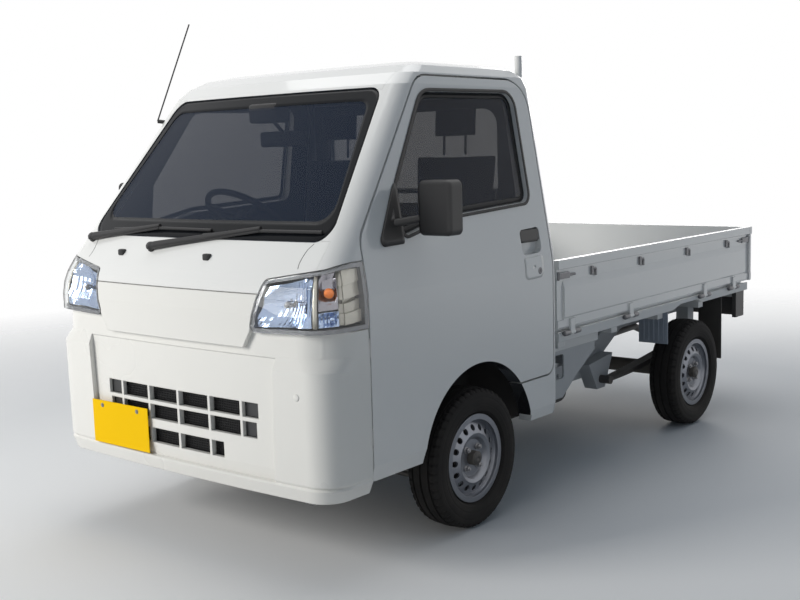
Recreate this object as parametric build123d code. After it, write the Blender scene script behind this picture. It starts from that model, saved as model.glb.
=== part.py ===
from build123d import *
import math
import os

# Small flat-bed truck with a forward cab. Millimetres, +Z up, the front faces -Y, +X is the vehicle's left.
# The origin lies on the ground at the middle of the vehicle's length and width.

# Overall sizes and stations along the vehicle
overall_length = 3395.0
front_overhang = 835.0
wheelbase = 1900.0
front_track = 1305.0
rear_track = 1300.0
cab_length = 1396.0
bed_gap = 8.0
nose_y = -overall_length / 2
tail_y = overall_length / 2
front_axle_y = nose_y + front_overhang
rear_axle_y = front_axle_y + wheelbase
cab_rear_y = nose_y + cab_length
bed_front_y = cab_rear_y + bed_gap

# Heights of the windscreen's foot and of the straight part of the pillars
lamp_top = 1650.0
screen_foot = 1027.0

# Clearances
seat_fit = 0.3
seam_gap = 3.0
seam_depth = 12.0
door_gap = 7.0
door_lap = 2.0
gate_gap = 6.0
glass_fit = 0.4

# Wheels and tyres
tyre_radius = 266.0
tyre_width = 145.0
tread_width = 112.0
rim_seat_radius = 152.0
rim_flange_radius = 167.0
rim_width = 116.0
rim_wall = 6.0
wheel_face_offset = 38.0
hub_bore_radius = 27.5
lug_circle_radius = 50.0
lug_hole_radius = 7.0
lug_count = 4
vent_circle_radius = 116.0
vent_radius = 11.5
vent_count = 16
drum_radius = 96.0
drum_width = 46.0

# Cab skin: height, set-back of the nose, half width, front corner radius, bow of the front, set-in of the rear
CAB_SECTIONS = [
    (290.0, 16.0, 714.0, 92.0, 22.0, 0.0),
    (380.0, 3.0, 735.0, 105.0, 24.0, 0.0),
    (900.0, 0.0, 737.0, 108.0, 26.0, 0.0),
    (950.0, 8.0, 736.0, 106.0, 28.0, 0.0),
    (990.0, 23.0, 731.0, 102.0, 31.0, 0.0),
    (1027.0, 46.0, 725.0, 96.0, 34.0, 0.0),
    (1650.0, 534.0, 618.0, 66.0, 42.0, 4.0),
    (1692.0, 590.0, 602.0, 68.0, 40.0, 14.0),
    (1722.0, 655.0, 568.0, 72.0, 34.0, 46.0),
    (1739.0, 740.0, 506.0, 76.0, 24.0, 100.0),
    (1748.0, 860.0, 410.0, 78.0, 12.0, 190.0),
]
# Reach of the cutting shapes, beyond the cab on each side and above
wide = 1.35 * max(row[2] for row in CAB_SECTIONS)
high = 1.15 * CAB_SECTIONS[-1][0]
cab_rear_corner = 45.0
side_wall = 60.0
front_wall = 40.0
rear_wall = 34.0
roof_wall = 34.0
belt_height = 1127.0
upper_wall = 42.0

# Seams of the cab panels
panel_seam_height = 966.0
roof_seam_height = 1630.0
roof_half_width = 548.0
back_half = 560.0
back_bottom = 600.0

# Door outline seen from the side: distance behind the nose, height, corner radius
door_front = 226.0
door_rear = 1354.0
door_bottom = 322.0
door_top = 1684.0
door_inner = 664.0
door_pin_x = 735.2
door_pin_radius = 1.8
DOOR_HINGES = [480.0, 780.0]
DOOR_OUTLINE = [
    (door_front, door_bottom, 22.0),
    (door_front, 1135.0, 110.0),
    (660.0, door_top, 130.0),
    (door_rear, door_top, 130.0),
    (door_rear, 503.0, 50.0),
    (1100.0, 503.0, 4.0),
    (1100.0, door_bottom, 4.0),
]
WINDOW_OUTLINE = [
    (455.0, 1128.0, 20.0),
    (455.0, 1304.0, 30.0),
    (672.0, 1622.0, 90.0),
    (1246.0, 1628.0, 60.0),
    (1246.0, 1206.0, 40.0),
    (700.0, 1180.0, 200.0),
]
arch_radius = 345.0
arch_rise = 285.0
arch_shift = 10.0
door_glass_thickness = 5.0

# Windscreen and rear window seen from the front: half width, height, corner radius
WINDSCREEN_OUTLINE = [(545.0, 1640.0, 60.0), (642.0, 1128.0, 55.0)]
glass_thickness = 6.0
glass_inset = 3.0
rear_window_half = 470.0
rear_window_bottom = 1190.0
rear_window_top = 1580.0
rear_window_corner = 70.0

# Headlamp outline seen from the front: distance from the middle, height, corner radius
LAMP_OUTLINE = [
    (402.0, 838.0, 20.0),
    (450.0, 1010.0, 16.0),
    (672.0, 1046.0, 60.0),
    (800.0, 1100.0, 4.0),
    (800.0, 850.0, 4.0),
]
lamp_depth = 80.0
lens_thickness = 5.0
lamp_bowl_depth = 58.0

# Front bumper relief and openings
relief_depth = 18.0
# Front cover below the lamps, with proud corner pads under a recessed band: columns as for the cab skin
COVER_SECTIONS = [
    (290.0, 16.0, 714.0, 92.0, 22.0, 0.0),
    (334.0, 3.0, 733.0, 103.0, 24.0, 0.0),
    (342.0, 9.0, 730.0, 110.0, 24.0, 0.0),
    (350.0, 3.0, 734.0, 104.0, 24.0, 0.0),
    (722.0, 0.0, 737.0, 106.0, 25.0, 0.0),
    (764.0, relief_depth, 736.0, 150.0, 26.0, 0.0),
    (1010.0, relief_depth, 728.0, 150.0, 30.0, 0.0),
]
NOSE_PANEL = [(368.0, 785.0), (402.0, 838.0), (466.0, 1010.0)]  # across, height
pocket_depth = 40.0
# Scoop behind the door pull seen from the side: distance behind the nose, height, corner radius
SCOOP_OUTLINE = [
    (1148.0, 998.0, 26.0),
    (1285.0, 1004.0, 26.0),
    (1285.0, 1104.0, 18.0),
    (1148.0, 1098.0, 18.0),
]
scoop_floor = 698.0
GRILLE_ROWS = [  # bottom, top, half width
    (542.0, 595.0, 413.0),
    (473.0, 528.0, 403.0),
    (385.0, 440.0, 238.0),
]
GRILLE_BARS = [-325.0, -165.0, 0.0, 165.0, 325.0]
grille_bar_width = 12.0

# Cab floor and what stands on it
footwell_floor = 416.0
seat_pan = 650.0
sheet = 24.0
footwell_front = 168.0
footwell_rear = 492.0
wheelhouse_rear = 1192.0
wheelhouse_inner = 402.0
floor_half = 662.0

# Frame
rail_inner = 325.0
rail_width = 60.0
rail_height = 92.0
rail_low = 300.0
rail_high = 492.0
rail_front = 150.0
kick_start = 2200.0
kick_end = 2560.0
rail_rear = 3322.0
side_panel_x = 640.0
SIDE_PANEL = [  # distance behind the nose, height
    (1425.0, 352.0),
    (1560.0, 352.0),
    (1690.0, 440.0),
    (1835.0, 520.0),
    (1835.0, 584.0),
    (1425.0, 584.0),
]
CROSSMEMBERS = [  # distance behind the nose, bottom, height, depth
    (190.0, 304.0, 80.0, 60.0),
    (835.0, 168.0, 60.0, 120.0),
    (1420.0, 304.0, 80.0, 60.0),
    (2050.0, 304.0, 50.0, 60.0),
    (2700.0, 496.0, 80.0, 60.0),
    (3270.0, 496.0, 80.0, 60.0),
]

# Steering and front suspension
kingpin_x = 540.0
strut_radius = 22.0
strut_top = seat_pan
spindle_radius = 27.2
arm_reach = 110.0
arm_height = 214.0
rack_height = 192.0
rack_radius = 11.0

# Wipers on the windscreen: pivot, arm end, blade ends, each across and up; aerial base and tip
WIPERS = [
    ((-600.0, 1112.0), (-200.0, 1160.0), (-480.0, 1150.0), (90.0, 1158.0)),
    ((-190.0, 1090.0), (330.0, 1160.0), (60.0, 1142.0), (600.0, 1160.0)),
]
AERIAL = [(-618.0, nose_y + 491.0, 1566.0), (-618.0, nose_y + 684.0, 1968.0)]

# Load bed
bed_floor_height = 655.0
bed_floor_thickness = 22.0
bed_half = 700.0
bed_length = 1940.0
headboard_thickness = 20.0
gate_thickness = 30.0
gate_top = 957.0
gate_bottom = 668.0
gate_hinge_x = 727.0
gate_hinge_z = 650.0
hinge_radius = 9.0
pin_radius = 4.0
hinge_length = 36.0
HINGES = [1511.0, 2025.0, 2807.0, 3165.0]
sill_drop = 40.0
sill_outer = 716.0
SILL_RISE = [  # distance behind the nose, height
    (2440.0, 600.0),
    (2470.0, 615.0),
    (2560.0, 636.0),
    (2740.0, 636.0),
    (2810.0, 615.0),
    (2840.0, 600.0),
]
HOOKS = [1700.0, 2134.0, 2618.0, 3087.0]
GATE_PROFILE = [  # out from the inner face, height above the gate's foot
    (0.0, 0.0),
    (16.0, 0.0),
    (22.0, 10.0),
    (22.0, 44.0),
    (27.0, 50.0),
    (27.0, 172.0),
    (18.0, 200.0),
    (18.0, 249.0),
    (30.0, 252.0),
    (30.0, 289.0),
    (0.0, 289.0),
]
hook_radius = 4.5
hook_height = 222.0
latch_length = 74.0
bed_inner_front_y = bed_front_y + headboard_thickness
bed_inner_rear_y = bed_inner_front_y + bed_length


def st(distance):
    return nose_y + distance


def box(x0, x1, y0, y1, z0, z1):
    return Pos((x0 + x1) / 2, (y0 + y1) / 2, (z0 + z1) / 2) * Box(abs(x1 - x0), abs(y1 - y0), abs(z1 - z0))


def rounded(points, radii):
    return make_face(FilletPolyline(*points, radius=radii, close=True))


def outline(table, grow=0.0):
    """A closed outline from rows of (across, up, corner radius), with each edge moved outwards by grow."""
    count = len(table)
    area = sum(table[i - 1][0] * table[i][1] - table[i][0] * table[i - 1][1] for i in range(count))
    turn = 1.0 if area > 0 else -1.0
    points, radii = [], []
    for i in range(count):
        (ax, ay, _), (bx, by, radius), (cx, cy, _) = table[i - 1], table[i], table[(i + 1) % count]
        ux, uy = bx - ax, by - ay
        vx, vy = cx - bx, cy - by
        ul, vl = math.hypot(ux, uy), math.hypot(vx, vy)
        ux, uy, vx, vy = ux / ul, uy / ul, vx / vl, vy / vl
        cross = ux * vy - uy * vx
        px, py = ax + turn * grow * uy, ay - turn * grow * ux
        qx, qy = bx + turn * grow * vy, by - turn * grow * vx
        t = ((qx - px) * vy - (qy - py) * vx) / cross
        points.append((px + t * ux, py + t * uy))
        radii.append(max(radius + grow * (1 if cross * turn > 0 else -1), 1.0))
    return rounded(points, radii)


def from_nose(table):
    return [(st(d), z, r) for d, z, r in table]


def mirrored(table):
    return table + [(-x, z, r) for x, z, r in reversed(table)]


def side_prism(face, x0, x1):
    return extrude(Plane(origin=(x0, 0, 0), x_dir=(0, 1, 0), z_dir=(1, 0, 0)) * face, amount=x1 - x0, dir=(1, 0, 0))


def front_prism(face, y0, y1):
    return extrude(Plane(origin=(0, y1, 0), x_dir=(1, 0, 0), z_dir=(0, -1, 0)) * face, amount=y1 - y0, dir=(0, -1, 0))


def polygon(points):
    return make_face(Polyline(*points, close=True))


def rod(p, q, radius):
    start, end = Vector(*p), Vector(*q)
    axis = end - start
    return extrude(Plane(origin=start, z_dir=axis) * Circle(radius), amount=axis.length)


def flip(shape):
    return shape.mirror(Plane.YZ)


def pair(shape):
    return Compound(children=[shape, flip(shape)])


def cab_section(height, set_back, half, corner, bow, rear_in):
    front = st(set_back)
    rear = cab_rear_y - rear_in
    face = make_face([
        ThreePointArc((-half, front + bow), (0, front), (half, front + bow)),
        Line((half, front + bow), (half, rear)),
        Line((half, rear), (-half, rear)),
        Line((-half, rear), (-half, front + bow)),
    ])
    ends = face.vertices().sort_by(Axis.Y)
    face = fillet(ends[:2], corner)
    face = fillet([v for v in face.vertices() if v.Y > rear - 1], cab_rear_corner)
    return Pos(0, 0, height) * face


def cab_skin(depth, top=high, foot=0.0):
    rows = [row for row in CAB_SECTIONS if foot <= row[0] <= top]
    return loft([cab_section(z, s + depth, h - depth, c, b, r + depth) for z, s, h, c, b, r in rows], ruled=True)


def cab_hollow():
    across, along = [], []
    for z, s, h, c, b, r in CAB_SECTIONS:
        if z <= roof_seam_height + 120:
            up = z - (roof_wall if z > roof_seam_height else 0)
            across.append((h - (side_wall if z < belt_height else upper_wall), up))
            along.append((st(s + b + front_wall), up))
    across[0] = (across[0][0], across[0][1] - 20)
    along[0] = (along[0][0], along[0][1] - 20)
    rear = cab_rear_y - rear_wall
    tall = front_prism(polygon(across + [(-x, z) for x, z in reversed(across)]), nose_y, rear)
    return tall & side_prism(polygon(along + [(rear, along[-1][1]), (rear, along[0][1])]), -wide, wide)


parts = {}

# Cab pieces are cut from the outer skin, and the hollow is taken out of each
skin = cab_skin(0)
hollow = cab_hollow()
door_front_y = st(door_front)
arch = Pos(0, front_axle_y + arch_shift, arch_rise) * Rot(0, 90, 0) * Cylinder(arch_radius, 2 * wide)
lamp_face = outline(LAMP_OUTLINE)
lamp_cut = front_prism(lamp_face, st(-50), door_front_y)
lamp_cuts = [lamp_cut, flip(lamp_cut)]
screen_table = mirrored(WINDSCREEN_OUTLINE)
screen_cut = front_prism(outline(screen_table, glass_fit), st(-50), st(800))
door_table = from_nose(DOOR_OUTLINE)
door_zone = front_prism(polygon([(door_inner, 200), (wide, 200), (wide, 1760), (door_inner - 136, 1760), (door_inner - 100, 1640),
                                 (door_inner - 4, 1027)]), st(0), cab_rear_y)
door_cut = side_prism(outline(door_table, door_lap), 300, wide)
roof_zone = box(-roof_half_width, roof_half_width, st(0), cab_rear_y, roof_seam_height, high)
cowl_zone = box(-642, 642, st(-50), st(330), panel_seam_height, 1132)
bumper_zone = box(-wide, wide, st(-50), door_front_y, 200, panel_seam_height)
back_zone = box(-back_half, back_half, cab_rear_y - rear_wall, cab_rear_y + 50, back_bottom, roof_seam_height)
under_zone = box(-wide, wide, door_front_y, st(wheelhouse_rear), 200, door_bottom + 40)
rocker_trim = box(-wide, wide, st(wheelhouse_rear - 60), cab_rear_y + 50, 200, 336)
lower_skin = cab_skin(0, lamp_top)
tunnel_zone = box(-back_half, back_half, st(0), cab_rear_y + 50, 200, back_bottom)
outer_layer = lower_skin - cab_skin(seam_depth, lamp_top)
lamp_grooves = [front_prism(outline(LAMP_OUTLINE, seam_gap), st(-50), door_front_y) & outer_layer]
lamp_grooves.append(flip(lamp_grooves[0]))

# Front bumper cover with raised corners, a raised middle panel and slotted openings
cover_skin = loft([cab_section(*row) for row in COVER_SECTIONS], ruled=True)
nose = front_prism(polygon(NOSE_PANEL + [(-x, z) for x, z in reversed(NOSE_PANEL)]), st(-50), st(120))
bumper = (cover_skin & bumper_zone) + (skin & bumper_zone & nose)
middle = polygon([(-500, 757), (500, 757), (486, 340), (-486, 340)])
bumper -= front_prism(middle, st(-50), st(90)) - cab_skin(relief_depth, lamp_top)
bumper = bumper - lamp_cuts - lamp_grooves - hollow
bumper -= box(-wide, wide, st(-50), door_front_y, panel_seam_height - seam_gap, panel_seam_height) & outer_layer
bumper -= box(-440, 440, st(pocket_depth), st(140), GRILLE_ROWS[-1][0] - 12, GRILLE_ROWS[0][1] + 12)
for low, top, half in GRILLE_ROWS:
    edges = [-half] + [b for b in GRILLE_BARS if abs(b) < half - 30] + [half]
    for a, b in zip(edges[:-1], edges[1:]):
        bumper -= box(a + grille_bar_width / 2, b - grille_bar_width / 2, st(-50), st(90), low, top)
parts["front_bumper"] = bumper

# Cowl panel under the windscreen
parts["cowl_panel"] = (skin & cowl_zone) - screen_cut - lamp_cuts - lamp_grooves - hollow

# Roof, back wall and glass
parts["cab_roof"] = (skin & roof_zone) - screen_cut - hollow
window_back = mirrored([(rear_window_half, rear_window_top, rear_window_corner), (rear_window_half, rear_window_bottom, rear_window_corner)])
back_cut = front_prism(outline(window_back), cab_rear_y - 80, cab_rear_y + 50)
parts["cab_back_panel"] = (skin & back_zone) - back_cut - hollow
back_glass_y = cab_rear_y - rear_wall / 2
parts["rear_window"] = front_prism(outline(window_back, -glass_fit), back_glass_y - glass_thickness / 2, back_glass_y + glass_thickness / 2)
screen_layer = cab_skin(glass_inset, lamp_top, screen_foot) - cab_skin(glass_inset + glass_thickness, lamp_top, screen_foot)
parts["windscreen"] = screen_layer & front_prism(outline(screen_table), st(-50), st(800))

# Body sides: front pillar, roof rail, rear pillar and the sill behind the wheel arch
side = (skin & box(500, wide, st(-50), cab_rear_y + 50, 200, high)) - door_cut - arch
side = side - [roof_zone, cowl_zone, bumper_zone, back_zone, under_zone, rocker_trim, tunnel_zone] - lamp_cut - lamp_grooves[0] - screen_cut - hollow
parts["cab_side_left"] = side
parts["cab_side_right"] = flip(side)

# Doors with their glass
window_table = from_nose(WINDOW_OUTLINE)
leaf = (skin & side_prism(outline(door_table, door_lap - door_gap), 300, wide) & door_zone) - side_prism(outline(window_table), 300, wide) - arch - hollow
leaf -= side_prism(outline(from_nose(SCOOP_OUTLINE)), scoop_floor, wide)
glass = (cab_skin(16, lamp_top, screen_foot) - cab_skin(16 + door_glass_thickness, lamp_top, screen_foot)) & side_prism(outline(window_table, -glass_fit), 300, wide)
hinge_y = door_front_y + (door_gap - door_lap) / 2
hinges = []
for z in DOOR_HINGES:
    hinge = box(690, door_pin_x, door_front_y, hinge_y, z - 30, z + 30)
    hinge += rod((door_pin_x, hinge_y, z - 34), (door_pin_x, hinge_y, z + 34), door_pin_radius)
    hinges += [hinge, flip(hinge)]
parts["door_hinges"] = Compound(children=hinges)
parts["door_left"] = leaf
parts["door_glass_left"] = glass
parts["door_right"] = flip(leaf)
parts["door_glass_right"] = flip(glass)

# Headlamps: a tray that holds the reflectors, and a clear lens flush with the skin
lens = (lower_skin - cab_skin(lens_thickness, lamp_top)) & front_prism(outline(LAMP_OUTLINE, -glass_fit), st(-50), door_front_y)
tray = (cab_skin(lens_thickness + seat_fit, lamp_top) - cab_skin(lamp_depth, lamp_top)) & lamp_cut
tray -= (lower_skin - cab_skin(lamp_bowl_depth, lamp_top)) & front_prism(outline(LAMP_OUTLINE, -14), st(-50), door_front_y - 14)
parts["headlamp_lenses"] = pair(lens)
parts["headlamp_housings"] = pair(tray)

# Cab floor: footwell, wheel houses, the raised pan under the seats and the wall behind the front cover
front_sheet_y = st(footwell_front)
floor = box(-floor_half, floor_half, front_sheet_y, st(footwell_rear + sheet), footwell_floor - sheet, footwell_floor)
floor += box(-590, 590, front_sheet_y, front_sheet_y + sheet, footwell_floor - sheet, 828)
floor += box(-380, 380, front_sheet_y, front_sheet_y + sheet, 820, 1000)
floor += box(-floor_half, floor_half, st(footwell_rear), st(footwell_rear + sheet), footwell_floor - sheet, seat_pan + sheet)
floor += box(-floor_half, floor_half, st(footwell_rear), cab_rear_y - rear_wall - 50, seat_pan, seat_pan + sheet)
floor += box(-600, 600, st(footwell_rear), cab_rear_y - rear_wall, seat_pan, seat_pan + sheet)
for sign in (-1, 1):
    floor += box(sign * wheelhouse_inner, sign * (wheelhouse_inner + 12), st(footwell_rear), st(wheelhouse_rear + 12), 330, seat_pan)
    floor += box(sign * wheelhouse_inner, sign * floor_half, st(wheelhouse_rear), st(wheelhouse_rear + 12), 345, seat_pan)
parts["cab_floor"] = floor

# Radiator behind the slots
parts["radiator"] = box(-330, 330, st(96), front_sheet_y, rail_low + rail_height, 640)

# Dashboard, seats, steering column and wheel
dash = side_prism(outline(from_nose([(footwell_front + sheet, 690, 10), (footwell_front + sheet, 1052, 30), (270, 1108, 40), (430, 1112, 40),
                                     (486, 1046, 40), (446, 900, 40), (330, 850, 40), (300, 690, 20)])), -600, 600)
column_angle = 50.0
wheel_centre = (-330.0, st(695.0), 1160.0)
column_dir = Vector(0, math.cos(math.radians(column_angle)), math.sin(math.radians(column_angle)))
column_plane = Plane(origin=wheel_centre, x_dir=(1, 0, 0), z_dir=column_dir)
column = column_plane * Pos(0, 0, -190) * Cylinder(30, 320)
column += column_plane * Pos(0, 0, -15) * Cylinder(9, 60)
dash -= column_plane * Pos(0, 0, -190) * Cylinder(30 + seat_fit, 320 + 2 * seat_fit)
parts["dashboard"] = dash
parts["steering_column"] = column
rim_radius = 178.0
wheel = Torus(rim_radius, 13) + Pos(0, 0, -12) * Cylinder(44, 34)
for angle in (0, 120, 240):
    wheel += Rot(0, 0, angle + 90) * Pos(rim_radius / 2, 0, -8) * Box(rim_radius, 32, 12)
wheel -= Pos(0, 0, -20) * Cylinder(9 + seat_fit, 80 )
parts["steering_wheel"] = column_plane * wheel
seat_base = seat_pan + sheet
seat = side_prism(outline(from_nose([(830, seat_base, 10), (800, 740, 30), (800, 800, 34), (880, 812, 40), (1148, 776, 60), (1214, 1380, 50),
                                     (1236, 1450, 30), (1310, 1450, 40), (1290, 1280, 60), (1264, 720, 40), (1252, seat_base, 8)])), 90, 560)
seat += side_prism(outline(from_nose([(1228, 1440, 6), (1232, 1540, 20), (1250, 1598, 22), (1300, 1598, 22), (1322, 1540, 20), (1310, 1440, 6)])), 208, 442)
parts["seats"] = pair(seat)

# Frame: two rails that rise over the rear axle, with spring hangers, and the crossmembers between them
rail_face = outline(from_nose([(rail_front, rail_low, 8), (kick_start, rail_low, 120), (kick_end, rail_high, 120), (rail_rear, rail_high, 8),
                               (rail_rear, rail_high + rail_height, 8), (kick_end - 40, rail_high + rail_height, 120),
                               (kick_start - 40, rail_low + rail_height, 120), (rail_front, rail_low + rail_height, 8)]))
rail_outer = rail_inner + rail_width
rail = side_prism(rail_face, rail_inner, rail_outer)
spring_x = 480.0
spring_width = 56.0
front_eye = (wheelbase + front_overhang - 500.0, 292.0)
rear_eye = (wheelbase + front_overhang + 500.0, 400.0)
eye_radius = 20.0
cheek = spring_x - spring_width / 2 - seat_fit
rail += side_prism(polygon([(st(front_eye[0] + d), z) for d, z in ((-112, rail_low + 78), (118, rail_low + 104), (40, front_eye[1] - 46), (-34, front_eye[1] - 46))]),
                   rail_outer - 2, cheek)
rail += box(rail_outer - 2, cheek, st(rear_eye[0] - 36), st(rear_eye[0] + 36), rear_eye[1] - 30, rail_high + 40)
side_panel = side_prism(polygon([(st(d), z) for d, z in SIDE_PANEL]), side_panel_x, side_panel_x + 8)
side_panel -= side_prism(outline(from_nose([(1452, 436, 12), (1572, 436, 12), (1572, 540, 12), (1452, 540, 12)])), side_panel_x - 20, wide)
for d, z in ((1480.0, 396.0), (1700.0, 500.0)):
    side_panel += box(rail_outer - 2, side_panel_x + 2, st(d - 20), st(d + 20), z - 30, z)
parts["frame_rails"] = Compound(children=[rail + side_panel, flip(rail)])
members = [box(-rail_inner, rail_inner, st(d - depth / 2), st(d + depth / 2), low, low + height) for d, low, height, depth in CROSSMEMBERS if low > 200]
parts["frame_crossmembers"] = Compound(children=members)

# Front suspension: a cross beam under the rails, lower arms, coil springs and the rack housing
beam_d, beam_low, beam_height, beam_depth = CROSSMEMBERS[1]
beam = box(-rail_outer, rail_outer, st(beam_d - beam_depth / 2), st(beam_d + beam_depth / 2), beam_low + beam_height, rail_low)
arm_low = 172.0
arm_top = 196.0
beam += box(-330, 330, st(beam_d - 30), st(beam_d + 60), arm_low, beam_low + beam_height + 2)
rack_y = front_axle_y - arm_reach
beam += box(-240, 240, rack_y - 24, st(beam_d - 28), rack_height - 20, rack_height + 40)
beam += box(-240, 240, st(beam_d - 62), st(beam_d - 28), rack_height - 20, beam_low + beam_height + 2)
beam -= rod((-wide, rack_y, rack_height), (wide, rack_y, rack_height), rack_radius + seat_fit)
for sign in (-1, 1):
    beam += box(sign * 320, sign * (kingpin_x + 26), front_axle_y - 24, front_axle_y + 24, arm_low, arm_top)
parts["front_suspension"] = beam
spring_low = 545.0
coil = Pos(kingpin_x, front_axle_y, (spring_low + strut_top) / 2) * (Cylinder(52, strut_top - spring_low) - Cylinder(strut_radius + 6, strut_top - spring_low))
parts["coil_springs"] = pair(coil)

# Steering knuckles with their struts, steering arms and spindles
spindle_end = front_track / 2 + wheel_face_offset + 26
knuckle = Pos(kingpin_x, front_axle_y, 0) * rod((0, 0, arm_top), (0, 0, strut_top - seat_fit), strut_radius)
knuckle += box(kingpin_x - 30, kingpin_x + 34, front_axle_y - 34, front_axle_y + 34, arm_top + 6, 330)
knuckle += rod((kingpin_x, front_axle_y, tyre_radius), (spindle_end, front_axle_y, tyre_radius), spindle_radius)
drum_outer = front_track / 2 + wheel_face_offset - rim_wall - seat_fit
knuckle += rod((drum_outer - drum_width, front_axle_y, tyre_radius), (drum_outer, front_axle_y, tyre_radius), drum_radius)
knuckle += box(kingpin_x - 22, kingpin_x + 10, rack_y - 20, front_axle_y, arm_height, arm_height + 18)
parts["knuckle_left"] = knuckle
parts["knuckle_right"] = flip(knuckle)
tie = kingpin_x - 6
rack = rod((-tie, rack_y, rack_height), (tie, rack_y, rack_height), rack_radius)
parts["steering_rack"] = rack

# Rear axle and leaf springs
axle_end = rear_track / 2 + wheel_face_offset + 26
axle = rod((-axle_end, rear_axle_y, tyre_radius), (axle_end, rear_axle_y, tyre_radius), spindle_radius)
rear_drum = rear_track / 2 + wheel_face_offset - rim_wall - seat_fit
axle += rod((-rear_drum + 10, rear_axle_y, tyre_radius), (rear_drum - 10, rear_axle_y, tyre_radius), 36)
axle += Pos(0, rear_axle_y, tyre_radius) * Sphere(96)
for sign in (-1, 1):
    axle += rod((sign * (rear_drum - drum_width), rear_axle_y, tyre_radius), (sign * rear_drum, rear_axle_y, tyre_radius), drum_radius)
    axle += box(sign * (spring_x - 30), sign * (spring_x + 30), rear_axle_y - 50, rear_axle_y + 50, tyre_radius, tyre_radius + 48)
nose_end = rear_axle_y - 150
axle += rod((0, rear_axle_y, tyre_radius + 20), (0, nose_end, tyre_radius + 26), 50)
parts["rear_axle"] = axle
pad_top = tyre_radius + 48
leaf_y = (st(front_eye[0]), st(rear_eye[0]))
spring_face = make_face([
    ThreePointArc((leaf_y[0], front_eye[1] - 5), (rear_axle_y, pad_top), (leaf_y[1], rear_eye[1] - 5)),
    Line((leaf_y[1], rear_eye[1] - 5), (leaf_y[1], rear_eye[1] + 5)),
    ThreePointArc((leaf_y[1], rear_eye[1] + 5), (rear_axle_y, pad_top + 26), (leaf_y[0], front_eye[1] + 5)),
    Line((leaf_y[0], front_eye[1] + 5), (leaf_y[0], front_eye[1] - 5)),
])
leaf_spring = side_prism(spring_face, spring_x - spring_width / 2, spring_x + spring_width / 2)
for y, z in ((leaf_y[0], front_eye[1]), (leaf_y[1], rear_eye[1])):
    leaf_spring += rod((spring_x - spring_width / 2, y, z), (spring_x + spring_width / 2, y, z), eye_radius)
parts["leaf_springs"] = pair(leaf_spring - axle)

# Engine with gearbox, propeller shaft, fuel tank and exhaust
gearbox_rear = 1720.0
pipe_radius = 19.0
engine = box(-240, 240, st(905), st(1390), 260, 590) + box(-130, 130, st(1390), st(gearbox_rear), 392, 560)
parts["engine_block"] = engine
parts["propeller_shaft"] = rod((0, st(gearbox_rear), 470), (0, nose_end, tyre_radius + 26), 30) - engine - axle
silencer_x, silencer_z, silencer_radius = 190.0, 215.0, 70.0
silencer_y = (st(1800.0), st(2230.0))
exhaust = rod((silencer_x, silencer_y[0], silencer_z), (silencer_x, silencer_y[1], silencer_z), silencer_radius)
PIPE = [(1380.0, 190.0, 280.0), (1560.0, 190.0, 222.0), (1820.0, 190.0, 215.0)], [(2210.0, 190.0, 225.0), (2480.0, 236.0, 420.0), (2980.0, 236.0, 430.0), (3180.0, 236.0, 360.0)]
for run in PIPE:
    for (d0, x0, z0), (d1, x1, z1) in zip(run[:-1], run[1:]):
        exhaust += rod((x0, st(d0), z0), (x1, st(d1), z1), pipe_radius) + Pos(x1, st(d1), z1) * Sphere(pipe_radius)
exhaust += box(silencer_x - 12, silencer_x + 12, st(2040), st(2060), silencer_z + silencer_radius - 10, CROSSMEMBERS[3][1])
exhaust += box(236 - 8, 236 + 8, st(2690), st(2710), 425, CROSSMEMBERS[4][1])
parts["exhaust"] = exhaust - engine
parts["fuel_tank"] = box(-rail_outer, -640, st(1480), st(2010), 330, 560)

# Wheels and tyres
tyre_half = tyre_width / 2
tyre_face = make_face([
    Polyline((-rim_width / 2 + 8, rim_seat_radius), (rim_width / 2 - 8, rim_seat_radius), (rim_width / 2 - 8, rim_flange_radius + 4),
             (tyre_half - 6, rim_flange_radius + 14)),
    ThreePointArc((tyre_half - 6, rim_flange_radius + 14), (tyre_half, (rim_flange_radius + tyre_radius) / 2), (tyre_half - 5, tyre_radius - 18)),
    Polyline((tyre_half - 5, tyre_radius - 18), (tread_width / 2, tyre_radius - 4), (tread_width / 4, tyre_radius), (-tread_width / 4, tyre_radius),
             (-tread_width / 2, tyre_radius - 4), (-tyre_half + 5, tyre_radius - 18)),
    ThreePointArc((-tyre_half + 5, tyre_radius - 18), (-tyre_half, (rim_flange_radius + tyre_radius) / 2), (-tyre_half + 6, rim_flange_radius + 14)),
    Polyline((-tyre_half + 6, rim_flange_radius + 14), (-rim_width / 2 + 8, rim_flange_radius + 4), (-rim_width / 2 + 8, rim_seat_radius)),
])
wheel_plane = Plane(origin=(0, 0, 0), x_dir=(1, 0, 0), z_dir=(0, -1, 0))
tyre = revolve(wheel_plane * tyre_face, axis=Axis.X)
seat_r = rim_seat_radius - seat_fit
rim_face = make_face(Polyline(
    (-rim_width / 2, rim_flange_radius), (-rim_width / 2, seat_r - 6), (-20, seat_r - 6), (-10, seat_r - 18), (wheel_face_offset - 24, seat_r - 18),
    (wheel_face_offset - 8, vent_circle_radius + 14), (wheel_face_offset + 12, 92), (wheel_face_offset + 8, 84), (wheel_face_offset - rim_wall, 72),
    (wheel_face_offset - rim_wall, hub_bore_radius), (wheel_face_offset, hub_bore_radius), (wheel_face_offset, 70), (wheel_face_offset + 14, 80),
    (wheel_face_offset + 19, 94), (wheel_face_offset, vent_circle_radius + 18), (rim_width / 2 - 24, seat_r - 12), (rim_width / 2 - 12, seat_r - 6),
    (rim_width / 2, seat_r - 6), (rim_width / 2, rim_flange_radius), (rim_width / 2 - 6, rim_flange_radius), (rim_width / 2 - 8 + seat_fit, seat_r),
    (-rim_width / 2 + 8 - seat_fit, seat_r), (-rim_width / 2 + 6, rim_flange_radius), close=True))
rim = revolve(wheel_plane * rim_face, axis=Axis.X)
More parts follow.
